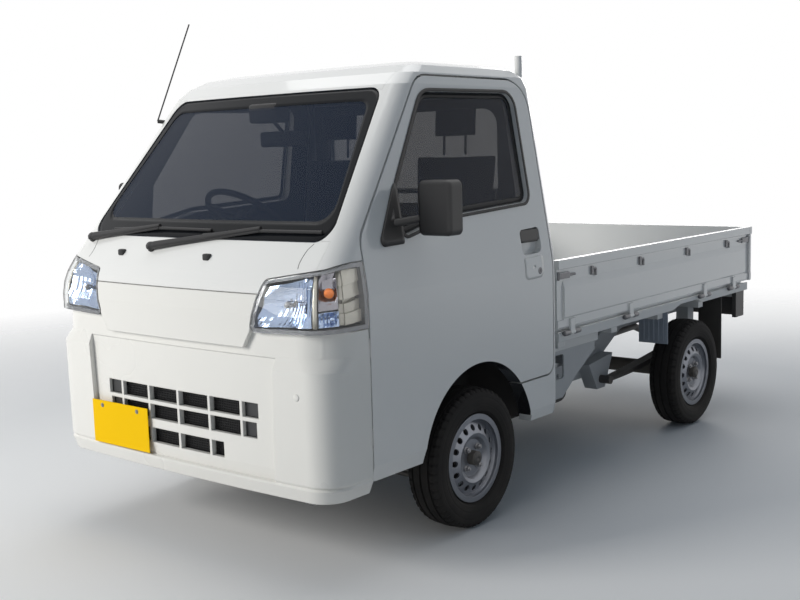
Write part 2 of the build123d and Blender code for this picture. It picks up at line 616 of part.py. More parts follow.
drill = Rot(0, 90, 0) * Pos(0, 0, wheel_face_offset) * Cylinder(vent_radius, 60)
for i in range(vent_count):
    rim -= Rot(360.0 * i / vent_count, 0, 0) * Pos(0, 0, vent_circle_radius) * drill
for i in range(lug_count):
    rim -= Rot(360.0 * (i + 0.5) / lug_count, 0, 0) * Pos(0, 0, lug_circle_radius) * Rot(0, 90, 0) * Cylinder(lug_hole_radius, 200)
for name, x, y in (("front", front_track / 2, front_axle_y), ("rear", rear_track / 2, rear_axle_y)):
    place = Pos(x, y, tyre_radius)
    parts[f"wheel_{name}_left"] = place * rim
    parts[f"wheel_{name}_right"] = flip(place * rim)
    parts[f"tyre_{name}_left"] = place * tyre
    parts[f"tyre_{name}_right"] = flip(place * tyre)

# Load bed: floor with sills and cross sills, headboard and guard frame
floor_low = bed_floor_height - bed_floor_thickness
rail_top = rail_high + rail_height
tail_hinge_y = tail_y - hinge_radius
deck_end_y = tail_hinge_y - 11.0
deck = box(-bed_half, bed_half, bed_inner_front_y, deck_end_y, floor_low, bed_floor_height)
for sign in (-1, 1):
    deck += box(sign * (sill_outer - 26), sign * sill_outer, bed_inner_front_y, deck_end_y, bed_floor_height - sill_drop, bed_floor_height)
rise = side_prism(polygon([(st(d), z) for d, z in SILL_RISE]), sill_outer - 40, wide)
deck = deck - rise - flip(rise)
for d in (1480.0, 1930.0, 2380.0, 2830.0, 3290.0):
    deck += box(-bed_half + 6, bed_half - 6, st(d - 26), st(d + 26), rail_top, floor_low)
for d in (1480.0, 1930.0):
    for sign in (-1, 1):
        deck += box(sign * (rail_inner + 4), sign * (rail_outer - 4), st(d - 24), st(d + 24), rail_low + rail_height, rail_top)


def gate(length, hinges, hooks, ends=46.0):
    """A pressed panel along Y with a top rail, a hook channel under it, a sloping band and a broad panel, latched at both ends."""
    face = polygon([(x, gate_bottom + z) for x, z in GATE_PROFILE])
    slab = front_prism(face, -length / 2, length / 2)
    channel, band = GATE_PROFILE[6][0], gate_bottom + GATE_PROFILE[6][1]
    for end in (-1, 1):
        slab -= box(channel, 2 * gate_thickness, end * (length / 2 - ends), end * length, gate_bottom + GATE_PROFILE[3][1] - 4, band)
        a = end * (length / 2 - 14)
        slab += box(channel - 1, gate_thickness - 2, a, a - end * latch_length, gate_bottom + hook_height - 12, gate_bottom + hook_height + 14)
        slab += rod((gate_thickness - 8, a - end * latch_length, gate_bottom + hook_height), (gate_thickness - 8, a - end * (latch_length + 46), gate_bottom + hook_height), hook_radius)
    for y in hooks:
        x, z = gate_thickness - 6, gate_bottom + hook_height
        slab += box(channel - 1, gate_thickness - 3, y - 24, y - 8, z - 18, z + 18)
        slab += rod((x, y - 12, z + 8), (x, y + 16, z + 8), hook_radius)
        slab += rod((x, y + 12, z + 12), (x, y + 12, z - 22), hook_radius)
    axis_x = gate_hinge_x - gate_inner_x
    for y in hinges:
        slab += box(axis_x - 6, axis_x + 6, y - hinge_length / 2, y + hinge_length / 2, gate_hinge_z, gate_bottom + 40)
        slab += rod((axis_x, y - hinge_length / 2, gate_hinge_z), (axis_x, y + hinge_length / 2, gate_hinge_z), hinge_radius)
        slab -= rod((axis_x, y - wide, gate_hinge_z), (axis_x, y + wide, gate_hinge_z), pin_radius + seat_fit)
    return slab


def hinge_ears(hinges, reach):
    ears = []
    for y in hinges:
        ear = rod((0, y - hinge_length / 2 - 18, gate_hinge_z), (0, y + hinge_length / 2 + 18, gate_hinge_z), pin_radius)
        for side_sign in (-1, 1):
            a = y + side_sign * (hinge_length / 2 + 1)
            b = y + side_sign * (hinge_length / 2 + 18)
            ear += rod((0, a, gate_hinge_z), (0, b, gate_hinge_z), hinge_radius)
            ear += box(-reach, 0, a, b, gate_hinge_z - hinge_radius, gate_hinge_z + 4)
        ears.append(ear)
    return ears


gate_inner_x = gate_hinge_x - 24.0
side_gate_length = tail_hinge_y - 20.0 - gate_gap - bed_front_y
side_gate_mid = bed_front_y + side_gate_length / 2
side_hinges = [st(d) - side_gate_mid for d in HINGES]
side_gate = Pos(gate_inner_x, side_gate_mid, 0) * gate(side_gate_length, side_hinges, [st(d) - side_gate_mid for d in HOOKS])
parts["side_gate_left"] = side_gate
parts["side_gate_right"] = flip(side_gate)
for ear in hinge_ears(side_hinges, gate_hinge_x - sill_outer + 2):
    placed = Pos(gate_hinge_x, side_gate_mid, 0) * ear
    deck += placed
    deck += flip(placed)
tail_hinges = [-560.0, -190.0, 190.0, 560.0]
tailgate = Pos(0, tail_hinge_y - 24.0, 0) * Rot(0, 0, 90) * gate(2 * (gate_inner_x + gate_thickness), tail_hinges, [-480.0, 480.0])
parts["tailgate"] = tailgate
for ear in hinge_ears(tail_hinges, tail_hinge_y - deck_end_y + 2):
    deck += Pos(0, tail_hinge_y, 0) * Rot(0, 0, 90) * ear
parts["bed_floor"] = deck
headboard = box(-gate_inner_x + gate_gap, gate_inner_x - gate_gap, bed_front_y, bed_inner_front_y, floor_low, gate_top)
parts["bed_headboard"] = headboard
post_x = 545.0
guard_y = bed_front_y + headboard_thickness / 2
guard = rod((-post_x, guard_y, 1700), (post_x, guard_y, 1700), 15)
guard += rod((-post_x, guard_y, 1240), (post_x, guard_y, 1240), 12)
for sign in (-1, 1):
    guard += rod((sign * post_x, guard_y, gate_top), (sign * post_x, guard_y, 1785), 15)
parts["guard_frame"] = guard

# Rear panel with lamps, mud guards
panel_y = st(rail_rear) + 16.0
rear_panel = box(-690, 690, panel_y - 16, panel_y, 478, bed_floor_height - sill_drop)
for sign in (-1, 1):
    rear_panel += box(sign * 690, sign * (sill_outer - 4), st(3236), panel_y, 478, bed_floor_height - sill_drop)
parts["rear_panel"] = rear_panel - box(-bed_half + 6, bed_half - 6, st(3264), st(3316), rail_top, floor_low)
parts["tail_lamps"] = pair(box(450, 684, panel_y, panel_y + 22, 492, 592))
guards = box(560, sill_outer - 2, rear_axle_y - 316, rear_axle_y - 310, 456, bed_floor_height - sill_drop)
flap = box(585, sill_outer - 2, rear_axle_y + 306, rear_axle_y + 312, 285, bed_floor_height - sill_drop)
parts["mud_guards"] = Compound(children=[guards, flip(guards), flap, flip(flap)])

# Mirrors on the doors
head = box(752, 892, st(472), st(540), 1130, 1316)
head = fillet(head.edges().filter_by(Axis.Y), 22)
head = fillet(head.faces().sort_by(Axis.Y)[0].edges(), 14)
mirror = head + rod((680, st(400), 1172), (770, st(505), 1190), 14)
parts["mirror_left"] = mirror - leaf
parts["mirror_right"] = flip(parts["mirror_left"])

# Wipers, aerial and plate
def screen_point(x, z, lift):
    for low, up in zip(CAB_SECTIONS[:-1], CAB_SECTIONS[1:]):
        if low[0] <= z <= up[0]:
            t = (z - low[0]) / (up[0] - low[0])
            set_back, half, bow = (low[k] + t * (up[k] - low[k]) for k in (1, 2, 4))
            return (x, st(set_back + bow * (x / half) ** 2) - lift, z)


blades = []
for pivot, joint, left, right in WIPERS:
    arm = rod(screen_point(*pivot, -6), screen_point(*pivot, 16), 11)
    arm += rod(screen_point(*pivot, 12), screen_point(*joint, 14), 5)
    arm += rod(screen_point(*left, 9), screen_point(*joint, 11), 6)
    arm += rod(screen_point(*joint, 11), screen_point(*right, 9), 6)
    blades.append(arm - parts["cowl_panel"] - parts["windscreen"])
parts["wipers"] = Compound(children=blades)
aerial = rod(AERIAL[0], AERIAL[1], 3)
aerial += rod(AERIAL[0], (AERIAL[0][0] + 40, AERIAL[0][1] + 60, AERIAL[0][2] - 10), 8) - side.mirror(Plane.YZ)
parts["aerial"] = aerial
parts["licence_plate"] = box(-495, -162, st(7), st(10), 345, 510) + (box(-400, -255, st(9), st(34), 445, 468) - bumper)

os.makedirs("parts", exist_ok=True)
for name, shape in parts.items():
    export_step(shape, f"parts/{name}.step")
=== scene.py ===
import bpy
import bmesh
import math
from mathutils import Matrix, Vector
from mathutils.bvhtree import BVHTree


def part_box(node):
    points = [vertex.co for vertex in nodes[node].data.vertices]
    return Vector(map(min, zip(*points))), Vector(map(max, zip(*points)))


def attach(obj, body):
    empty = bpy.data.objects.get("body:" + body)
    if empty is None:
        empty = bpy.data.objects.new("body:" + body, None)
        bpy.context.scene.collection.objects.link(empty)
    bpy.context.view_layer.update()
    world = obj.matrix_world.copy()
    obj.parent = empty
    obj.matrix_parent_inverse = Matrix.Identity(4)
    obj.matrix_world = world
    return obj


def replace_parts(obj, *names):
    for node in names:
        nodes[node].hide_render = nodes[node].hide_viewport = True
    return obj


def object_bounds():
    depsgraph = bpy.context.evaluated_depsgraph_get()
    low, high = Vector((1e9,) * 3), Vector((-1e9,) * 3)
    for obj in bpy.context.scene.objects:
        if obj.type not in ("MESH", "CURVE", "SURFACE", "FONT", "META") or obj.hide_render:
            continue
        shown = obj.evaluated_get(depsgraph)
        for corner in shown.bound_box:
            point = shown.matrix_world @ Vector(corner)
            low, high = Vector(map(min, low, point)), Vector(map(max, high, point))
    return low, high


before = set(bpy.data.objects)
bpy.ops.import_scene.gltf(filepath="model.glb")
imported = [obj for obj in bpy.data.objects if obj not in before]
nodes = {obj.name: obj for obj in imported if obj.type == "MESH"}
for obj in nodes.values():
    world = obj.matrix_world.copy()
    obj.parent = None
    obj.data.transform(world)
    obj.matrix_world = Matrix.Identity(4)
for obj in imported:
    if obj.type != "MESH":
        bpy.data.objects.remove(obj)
cad_box = [list(corner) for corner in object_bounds()]

# Studio: a pale floor that fades into a white surround, a broad lamp ahead of the truck and a soft one over it.
# The camera stands at the front left corner, at eye height, as in the photograph.
scene = bpy.context.scene
scene.view_settings.view_transform = "Standard"
photo_width = 800.0
photo_height = 600.0
focal_px = 1110.89
centre_px = (409.77, 298.62)
view_azimuth = math.radians(39.29)
view_elevation = math.radians(7.51)
view_roll = math.radians(-1.66)
eye = Vector((3.0992, -4.1462, 1.4106))
level = Vector((math.cos(view_azimuth), math.sin(view_azimuth), 0.0))
outwards = Vector((math.sin(view_azimuth), -math.cos(view_azimuth), 0.0))
back = outwards * math.cos(view_elevation) + Vector((0.0, 0.0, math.sin(view_elevation)))
upward = back.cross(level)
right = math.cos(view_roll) * level + math.sin(view_roll) * upward
upward = math.cos(view_roll) * upward - math.sin(view_roll) * level
camera = bpy.data.cameras.new("camera")
camera.sensor_width = 36.0
camera.lens = focal_px / photo_width * camera.sensor_width
camera.shift_x = (photo_width / 2 - centre_px[0]) / photo_width
camera.shift_y = (centre_px[1] - photo_height / 2) / photo_width
camera.clip_end = 200.0
camera_object = bpy.data.objects.new("camera", camera)
camera_object.matrix_world = Matrix.Translation(eye) @ Matrix((right, upward, back)).transposed().to_4x4()
scene.collection.objects.link(camera_object)
scene.camera = camera_object


def feed(tree, made, inputs):
    """Sets a node's inputs, by name or number, to values or to other nodes' outputs."""
    for label, value in inputs.items():
        if isinstance(value, bpy.types.NodeSocket):
            tree.links.new(value, made.inputs[label])
        else:
            made.inputs[label].default_value = value


def node(tree, kind, inputs=None, **settings):
    """A new node with its settings, such as its operation, and its inputs."""
    made = tree.nodes.new(kind)
    for label, value in settings.items():
        setattr(made, label, value)
    feed(tree, made, inputs or {})
    return made


def maths(tree, operation, *inputs, **settings):
    return node(tree, "ShaderNodeMath", dict(enumerate(inputs)), operation=operation, **settings).outputs[0]


def vector_maths(tree, operation, *inputs):
    return node(tree, "ShaderNodeVectorMath", dict(enumerate(inputs)), operation=operation).outputs


def surface(name, inputs):
    """A new material with its tree and its shader."""
    material = bpy.data.materials.new(name)
    material.use_nodes = True
    tree = material.node_tree
    bsdf = tree.nodes["Principled BSDF"]
    feed(tree, bsdf, inputs)
    return material, tree, bsdf


world = bpy.data.worlds.new("surround")
scene.world = world
world.use_nodes = True
tree = world.node_tree
background = tree.nodes["Background"]
feed(tree, background, {"Color": (0.66, 0.82, 1.0, 1), "Strength": 0.18})
white = node(tree, "ShaderNodeBackground", {"Color": (1, 1, 1, 1)})
ray = node(tree, "ShaderNodeLightPath").outputs
seen = maths(tree, "ADD", ray["Is Camera Ray"], ray["Is Glossy Ray"])
seen = maths(tree, "ADD", seen, ray["Is Transmission Ray"], use_clamp=True)
pick = node(tree, "ShaderNodeMixShader", {0: seen, 1: background.outputs[0], 2: white.outputs[0]})
feed(tree, tree.nodes["World Output"], {0: pick.outputs[0]})

LAMPS = [  # name, place, width, height, watts, colour
    ("key", (-3.4, -7.0, 3.2), 3.0, 3.0, 410.0, (1.0, 0.98, 0.94)),
    ("top", (-0.6, 0.4, 6.0), 5.0, 5.0, 100.0, (1.0, 1.0, 1.0)),
    ("side", (6.8, 2.4, 2.6), 4.0, 2.4, 6.0, (0.86, 0.92, 1.0)),
    ("back", (-2.6, 7.4, 3.4), 3.0, 3.0, 160.0, (1.0, 0.98, 0.95)),
]
lamps_aim = Vector((0, -0.2, 0.8))
for name, place, width, height, watts, colour in LAMPS:
    lamp = bpy.data.lights.new(name, "AREA")
    lamp.shape = "RECTANGLE"
    lamp.size = width
    lamp.size_y = height
    lamp.energy = watts
    lamp.color = colour
    lamp_object = bpy.data.objects.new(name, lamp)
    lamp_object.location = place
    lamp_object.rotation_euler = (lamps_aim - Vector(place)).to_track_quat("-Z", "Y").to_euler()
    lamp_object.visible_glossy = name != "key"  # its mirror image would clip on the cover's chamfers
    scene.collection.objects.link(lamp_object)

floor_reach = 14.0
fade_start, fade_end = 2.6, 6.5
floor_corners = [(floor_reach * x, floor_reach * y, 0) for x, y in ((-1, -1), (1, -1), (1, 1), (-1, 1))]
floor_mesh = bpy.data.meshes.new("floor")
floor_mesh.from_pydata(floor_corners, [], [(0, 1, 2, 3)])
floor_paint, tree, bsdf = surface(
    "floor paint", {"Base Color": (0.86, 0.86, 0.86, 1), "Roughness": 0.9, "Specular IOR Level": 0.1})
clear = node(tree, "ShaderNodeBsdfTransparent")
distance = vector_maths(tree, "LENGTH", node(tree, "ShaderNodeTexCoord").outputs["Object"])["Value"]
fade = node(tree, "ShaderNodeMapRange", {"Value": distance, "From Min": fade_start, "From Max": fade_end})
below = node(tree, "ShaderNodeNewGeometry").outputs["Backfacing"]
gone = maths(tree, "MAXIMUM", fade.outputs["Result"], below)
mix = node(tree, "ShaderNodeMixShader", {0: gone, 1: bsdf.outputs[0], 2: clear.outputs[0]})
feed(tree, tree.nodes["Material Output"], {0: mix.outputs[0]})
floor = bpy.data.objects.new("studio_floor", floor_mesh)
floor_mesh.materials.append(floor_paint)
scene.collection.objects.link(floor)

# Chassis: pressed and welded steel rails with crossmembers, painted pale grey, with the engine slung between.
# Axle, arms and springs are black. The coil springs are wound from round wire and sit round the struts.
# All of it carries a film of dust from the road.


def effect(name, inputs, outputs):
    """A shader node group: its tree, its inputs' sockets and its output node, from (name, value) and names."""
    group = bpy.data.node_groups.new(name, "ShaderNodeTree")
    for label, value in inputs:
        socket = group.interface.new_socket(label, in_out="INPUT", socket_type="NodeSocketFloat")
        socket.default_value = value
    for label in outputs:
        kind = "NodeSocketVector" if label == "Normal" else "NodeSocketFloat"
        group.interface.new_socket(label, in_out="OUTPUT", socket_type=kind)
    return group, group.nodes.new("NodeGroupInput").outputs, group.nodes.new("NodeGroupOutput")


skin_grain, given, result = effect("skin grain", [("Scale", 60.0), ("Detail", 4.0)], ["Value", "Height"])
here = node(skin_grain, "ShaderNodeTexCoord").outputs["Object"]
coarse = node(skin_grain, "ShaderNodeTexNoise", {"Scale": 3.5, "Vector": here})
fine = node(skin_grain, "ShaderNodeTexNoise", {
    "Vector": here, "Scale": given["Scale"], "Detail": given["Detail"]})
feed(skin_grain, result, {"Value": coarse.outputs["Fac"], "Height": fine.outputs["Fac"]})

road_dust, given, result = effect("road dust", [("Bottom", 0.15), ("Top", 0.7), ("Amount", 0.3)], ["Mask"])
here = node(road_dust, "ShaderNodeTexCoord").outputs["Object"]
height = node(road_dust, "ShaderNodeSeparateXYZ", {0: here}).outputs["Z"]
fall = node(road_dust, "ShaderNodeMapRange", {
    "Value": height, "From Min": given["Bottom"], "From Max": given["Top"], "To Min": 1.0, "To Max": 0.0})
cloud = node(road_dust, "ShaderNodeTexNoise", {"Vector": here, "Scale": 9.0, "Detail": 6.0})
patchy = maths(road_dust, "MULTIPLY", fall.outputs["Result"], cloud.outputs["Fac"])
feed(road_dust, result, {"Mask": maths(road_dust, "MULTIPLY", patchy, given["Amount"])})

soft_edge, given, result = effect("soft edge", [("Radius", 0.003)], ["Normal", "Edge"])
bevel = node(soft_edge, "ShaderNodeBevel", {"Radius": given["Radius"]}, samples=4).outputs[0]
flat = node(soft_edge, "ShaderNodeNewGeometry").outputs["Normal"]
lean = vector_maths(soft_edge, "DOT_PRODUCT", bevel, flat)["Value"]
turn = node(soft_edge, "ShaderNodeMapRange", {"Value": lean, "From Min": 0.999, "From Max": 0.85})
feed(soft_edge, result, {"Normal": bevel, "Edge": turn.outputs["Result"]})

inner_face, given, result = effect("inner face", [("Across", 0.0), ("Along", 0.0), ("Up", 0.0)], ["Mask"])
where = node(inner_face, "ShaderNodeTexCoord").outputs
side = maths(inner_face, "SIGN", node(inner_face, "ShaderNodeSeparateXYZ", {0: where["Object"]}).outputs["X"])
across = maths(inner_face, "MULTIPLY", side, given["Across"])
towards = node(inner_face, "ShaderNodeCombineXYZ", {"X": across, "Y": given["Along"], "Z": given["Up"]})
facing = vector_maths(inner_face, "DOT_PRODUCT", towards.outputs[0], where["Normal"])["Value"]
step = node(inner_face, "ShaderNodeMapRange", {"Value": facing, "From Min": 0.45, "From Max": 0.55})
feed(inner_face, result, {"Mask": step.outputs["Result"]})

front_axle = (0.0, -0.8525, 0.285)
arch_face, given, result = effect("arch face", [("Reach", 0.0)], ["Mask"])
here = node(arch_face, "ShaderNodeTexCoord").outputs["Object"]
from_axle = vector_maths(arch_face, "SUBTRACT", here, front_axle)[0]
upright = vector_maths(arch_face, "MULTIPLY", from_axle, (0.0, 1.0, 1.0))[0]
away = vector_maths(arch_face, "LENGTH", upright)["Value"]
feed(arch_face, result, {"Mask": maths(arch_face, "LESS_THAN", away, given["Reach"])})

# Inner faces of the cab panels take a dark grey: partly the trim's own colour, partly painted shade inside the
# cab.
lining_and_shade_grey = (0.07, 0.072, 0.078)
arch_reach, arch_dark = 0.3457, (0.010, 0.011, 0.015)
dust_tan = (0.30, 0.27, 0.23)


def blend(tree, mask, first, second):
    """A mix of two colours, each three numbers or another node's output."""
    first, second = ((*c, 1) if isinstance(c, tuple) else c for c in (first, second))
    return node(tree, "ShaderNodeMix", {0: mask, 6: first, 7: second}, data_type="RGBA").outputs[2]


def placed_effect(tree, group, **inputs):
    return node(tree, "ShaderNodeGroup", inputs, node_tree=group).outputs


def finish(name, colour, rough, metal=0.0, grain=60.0, depth=0.0, shade=0.06, dust=0.0, dust_top=0.7,
           edge=0.002, worn=None, coat=0.0, specular=0.5, lined_and_shaded=None):
    """A rigid surface: uneven colour, grained skin, rounded edges, dust low down, bare colour on worn edges."""
    material, tree, bsdf = surface(name, {
        "Metallic": metal, "Specular IOR Level": specular, "Coat Weight": coat, "Coat Roughness": 0.03})
    skin = placed_effect(tree, skin_grain, Scale=grain)
    rounding = placed_effect(tree, soft_edge, Radius=edge)
    tint = blend(tree, skin["Value"], colour, tuple(c * (1 - shade) for c in colour))
    if worn:
        tint = blend(tree, rounding["Edge"], tint, worn)
    # Inner faces turn dark grey: trim colour together with painted shade.
    if lined_and_shaded:
        lining_and_shade = placed_effect(tree, inner_face, **dict(zip(("Across", "Along", "Up"), lined_and_shaded)))
        tint = blend(tree, lining_and_shade["Mask"], tint, lining_and_shade_grey)
        # Faces inside the front wheel arches turn near-black.
        arch = placed_effect(tree, arch_face, Reach=arch_reach)
        tint = blend(tree, arch["Mask"], tint, arch_dark)
    if dust:
        film = placed_effect(tree, road_dust, Top=dust_top, Amount=dust)
        tint = blend(tree, film["Mask"], tint, dust_tan)
    spread = node(tree, "ShaderNodeMapRange", {
        "Value": skin["Value"], "To Min": max(rough - 0.05, 0.02), "To Max": rough + 0.08})
    bump = node(tree, "ShaderNodeBump", {
        "Strength": 0.6, "Distance": max(depth, 0.000005), "Height": skin["Height"],
        "Normal": rounding["Normal"]})
    feed(tree, bsdf, {"Base Color": tint, "Roughness": spread.outputs["Result"], "Normal": bump.outputs[0]})
    return material


def wear(material, *names):
    for name in names:
        mesh = nodes[name].data
        mesh.materials.clear()
        mesh.materials.append(material)


def piece(name, mesh, material, body, smooth=True):
    """A new object at the origin with its place in its mesh, which rides on a body."""
    if material:
        mesh.materials.clear()
        mesh.materials.append(material)
    for face in mesh.polygons:
        face.use_smooth = smooth
    made = bpy.data.objects.new(name, mesh)
    scene.collection.objects.link(made)
    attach(made, body)
    return made


frame_black = finish("frame black", (0.035, 0.035, 0.038), 0.45, grain=180, depth=0.0004, dust=0.5, edge=0.004,
                     worn=(0.09, 0.085, 0.08))
frame_grey = finish("primer grey", (0.45, 0.47, 0.49), 0.5, grain=160, depth=0.0003, dust=0.35, edge=0.004)
cast_iron = finish("cast iron", (0.06, 0.058, 0.056), 0.65, 0.4, grain=300, depth=0.0008, dust=0.5, edge=0.004)
alloy = finish("alloy casting", (0.36, 0.37, 0.38), 0.5, 0.8, grain=240, depth=0.0006, dust=0.4, edge=0.004)
spring_steel = finish("spring steel", (0.05, 0.05, 0.055), 0.5, 0.5, grain=140, depth=0.0004, dust=0.5)
tank_black = finish("tank plastic", (0.03, 0.03, 0.032), 0.5, grain=220, depth=0.0005, dust=0.4, edge=0.012)
wear(frame_grey, "frame_rails", "frame_crossmembers")
wear(frame_black, "front_suspension", "rear_panel", "exhaust")
wear(cast_iron, "rear_axle", "knuckle_left", "knuckle_right")
wear(alloy, "engine_block", "radiator")
wear(spring_steel, "leaf_springs", "coil_springs", "propeller_shaft", "steering_rack")
wear(tank_black, "fuel_tank")


def meshed(name, work):
    mesh = bpy.data.meshes.new(name)
    work.to_mesh(mesh)
    work.free()
    return mesh


def outward(mesh, closed=True):
    """The mesh with its faces turned outwards, and its open ends closed."""
    work = bmesh.new()
    work.from_mesh(mesh)
    if closed:
        bmesh.ops.holes_fill(work, edges=work.edges)
    bmesh.ops.recalc_face_normals(work, faces=work.faces)
    work.to_mesh(mesh)
    work.free()
    return mesh


def joined(name, *meshes):
    work = bmesh.new()
    for mesh in meshes:
        work.from_mesh(mesh)
    return meshed(name, work)


def growth(name, inputs):
    """A geometry node tree with a mesh input and sizes given as (name, socket kind, value)."""
    tree = bpy.data.node_groups.new(name, "GeometryNodeTree")
    tree.interface.new_socket("Geometry", in_out="INPUT", socket_type="NodeSocketGeometry")
    for label, kind, value in inputs:
        socket = tree.interface.new_socket(label, in_out="INPUT", socket_type="NodeSocket" + kind)
        socket.default_value = value
    tree.interface.new_socket("Material", in_out="INPUT", socket_type="NodeSocketMaterial")
    tree.interface.new_socket("Geometry", in_out="OUTPUT", socket_type="NodeSocketGeometry")
    return tree, tree.nodes.new("NodeGroupInput").outputs, tree.nodes.new("NodeGroupOutput")


def end_growth(tree, given, result, source):
    real = node(tree, "GeometryNodeRealizeInstances", {"Geometry": source}).outputs["Geometry"]
    paint = node(tree, "GeometryNodeSetMaterial", {"Geometry": real, "Material": given["Material"]})
    feed(tree, result, {"Geometry": paint.outputs["Geometry"]})


def grown(tree, material, base=None, **sizes):
    """The plain mesh that a node tree gives, with its inputs set by name."""
    host = bpy.data.objects.new("host", base or bpy.data.meshes.new("host"))
    scene.collection.objects.link(host)
    change = host.modifiers.new("growth", "NODES")
    change.node_group = tree
    sizes["Material"] = material
    for item in tree.interface.items_tree:
        if item.in_out == "INPUT" and item.name in sizes:
            change[item.identifier] = sizes[item.name]
    mesh = bpy.data.meshes.new_from_object(host.evaluated_get(bpy.context.evaluated_depsgraph_get()))
    host.modifiers.remove(change)
    bpy.data.objects.remove(host)
    return mesh


coil, given, result = growth("wound coil", [
    ("Turns", "Float", 3.0), ("Radius", "Float", 0.05), ("Height", "Float", 0.1), ("Wire", "Float", 0.006),
    ("Place", "Vector", (0, 0, 0)),
])
spiral = node(coil, "GeometryNodeCurveSpiral", {
    "Resolution": 32, "Rotations": given["Turns"], "Start Radius": given["Radius"],
    "End Radius": given["Radius"], "Height": given["Height"]})
wire = node(coil, "GeometryNodeCurvePrimitiveCircle", {"Resolution": 10, "Radius": given["Wire"]})
tube = node(coil, "GeometryNodeCurveToMesh", {
    "Curve": spiral.outputs["Curve"], "Profile Curve": wire.outputs["Curve"], "Fill Caps": True})
moved = node(coil, "GeometryNodeTransform", {"Geometry": tube.outputs["Mesh"], "Translation": given["Place"]})
end_growth(coil, given, result, moved.outputs["Geometry"])
low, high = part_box("coil_springs")
coil_wire = 0.0065
coil_radius = 0.0445
coil_turns = 3.5
coil_middle = high.x - 0.052
coil_height = high.z - low.z - 2 * coil_wire
coils = []
for sign in (1, -1):
    foot = Vector((sign * coil_middle, (low.y + high.y) / 2, low.z + coil_wire))
    coils.append(grown(coil, spring_steel, Turns=coil_turns, Radius=coil_radius, Height=coil_height,
                       Wire=coil_wire, Place=foot))
wound = piece("wound_springs", outward(joined("wound springs", *coils)), spring_steel, "chassis")
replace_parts(wound, "coil_springs")

bolts, given, result = growth("bolt heads", [
    ("Sides", "Int", 6), ("Radius", "Float", 0.01), ("Height", "Float", 0.008), ("Washer", "Float", 0.014),
    ("Tip", "Float", 0.5),
])
facing = node(bolts, "GeometryNodeInputNamedAttribute", data_type="FLOAT_VECTOR")
feed(bolts, facing, {"Name": "facing"})
turned = node(bolts, "FunctionNodeAlignRotationToVector", {"Vector": facing.outputs["Attribute"]})
whole = node(bolts, "GeometryNodeJoinGeometry")
BOLT_STEPS = [  # size, share of it, share of the height, sides
    ("Washer", 1.0, 0.25, 16), ("Radius", 1.0, 1.0, given["Sides"]), ("Radius", 0.55, given["Tip"], 12),
]
for label, share, rise, sides in BOLT_STEPS:
    across = maths(bolts, "MULTIPLY", given[label], share)
    tall = maths(bolts, "MULTIPLY", given["Height"], rise)
    disc = node(bolts, "GeometryNodeMeshCylinder", {"Vertices": sides, "Radius": across, "Depth": tall})
    lift = node(bolts, "ShaderNodeCombineXYZ", {"Z": maths(bolts, "MULTIPLY", tall, 0.5)})
    seat = node(bolts, "GeometryNodeTransform", {
        "Geometry": disc.outputs["Mesh"], "Translation": lift.outputs[0]})
    feed(bolts, whole, {"Geometry": seat.outputs["Geometry"]})
placed = node(bolts, "GeometryNodeInstanceOnPoints", {
    "Points": given["Geometry"], "Instance": whole.outputs["Geometry"], "Rotation": turned.outputs["Rotation"]})
end_growth(bolts, given, result, placed.outputs["Instances"])


def bolted(name, spots, material, body, slot, **sizes):
    """Bolt heads on a body, at spots given as (place, direction that the head faces)."""
    base = bpy.data.meshes.new("spots")
    base.from_pydata([tuple(place) for place, way in spots], [], [])
    ways = [c for place, way in spots for c in way]
    base.attributes.new("facing", "FLOAT_VECTOR", "POINT").data.foreach_set("vector", ways)
    return piece(name, grown(bolts, material, base, **sizes), None, body, smooth=False)


nose_y = cad_box[0][1]
rail_side = 0.385
RAIL_BOLTS = [(0.346, (0.62, 0.90, 1.20, 1.95)), (0.538, (2.62, 2.84, 3.08))]  # up, distances behind the nose
rail_bolts = [
    ((sign * rail_side, nose_y + distance, up), (sign, 0, 0))
    for sign in (1, -1) for up, distances in RAIL_BOLTS for distance in distances
]
bolted("frame_bolts", rail_bolts, frame_grey, "chassis", "frame_paint",
       Radius=0.0095, Height=0.007, Washer=0.013, Tip=1.3)

slats, given, result = growth("slats", [
    ("Count", "Int", 8), ("Start", "Vector", (0, 0, 0)), ("Pitch", "Vector", (0.01, 0, 0)),
    ("Size", "Vector", (0.002, 0.01, 0.1)),
])
row = node(slats, "GeometryNodeMeshLine", {
    "Count": given["Count"], "Start Location": given["Start"], "Offset": given["Pitch"]})
bar = node(slats, "GeometryNodeMeshCube", {"Size": given["Size"]})
placed = node(slats, "GeometryNodeInstanceOnPoints", {
    "Points": row.outputs["Mesh"], "Instance": bar.outputs["Mesh"]})
end_growth(slats, given, result, placed.outputs["Instances"])


def slatted(material, low, high, count, along, share=0.4):
    """Bars that fill a box, a number of them along one axis, each a share of the pitch wide."""
    low, high = Vector(low), Vector(high)
    size = high - low
    pitch = Vector((0, 0, 0))
    pitch[along] = size[along] / count
    start = (low + high) / 2
    start[along] = low[along] + pitch[along] / 2
    size[along] = pitch[along] * share
    return grown(slats, material, Count=count, Start=start, Pitch=pitch, Size=size)


low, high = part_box("radiator")
fin_depth, fin_count = 0.004, 46
fins_low = (low.x + 0.03, low.y - fin_depth, low.z + 0.02)
fins_high = (high.x - 0.03, low.y + 0.001, high.z - 0.02)
fins = slatted(alloy, fins_low, fins_high, fin_count, 2, 0.35)
piece("radiator_fins", fins, None, "chassis", smooth=False)
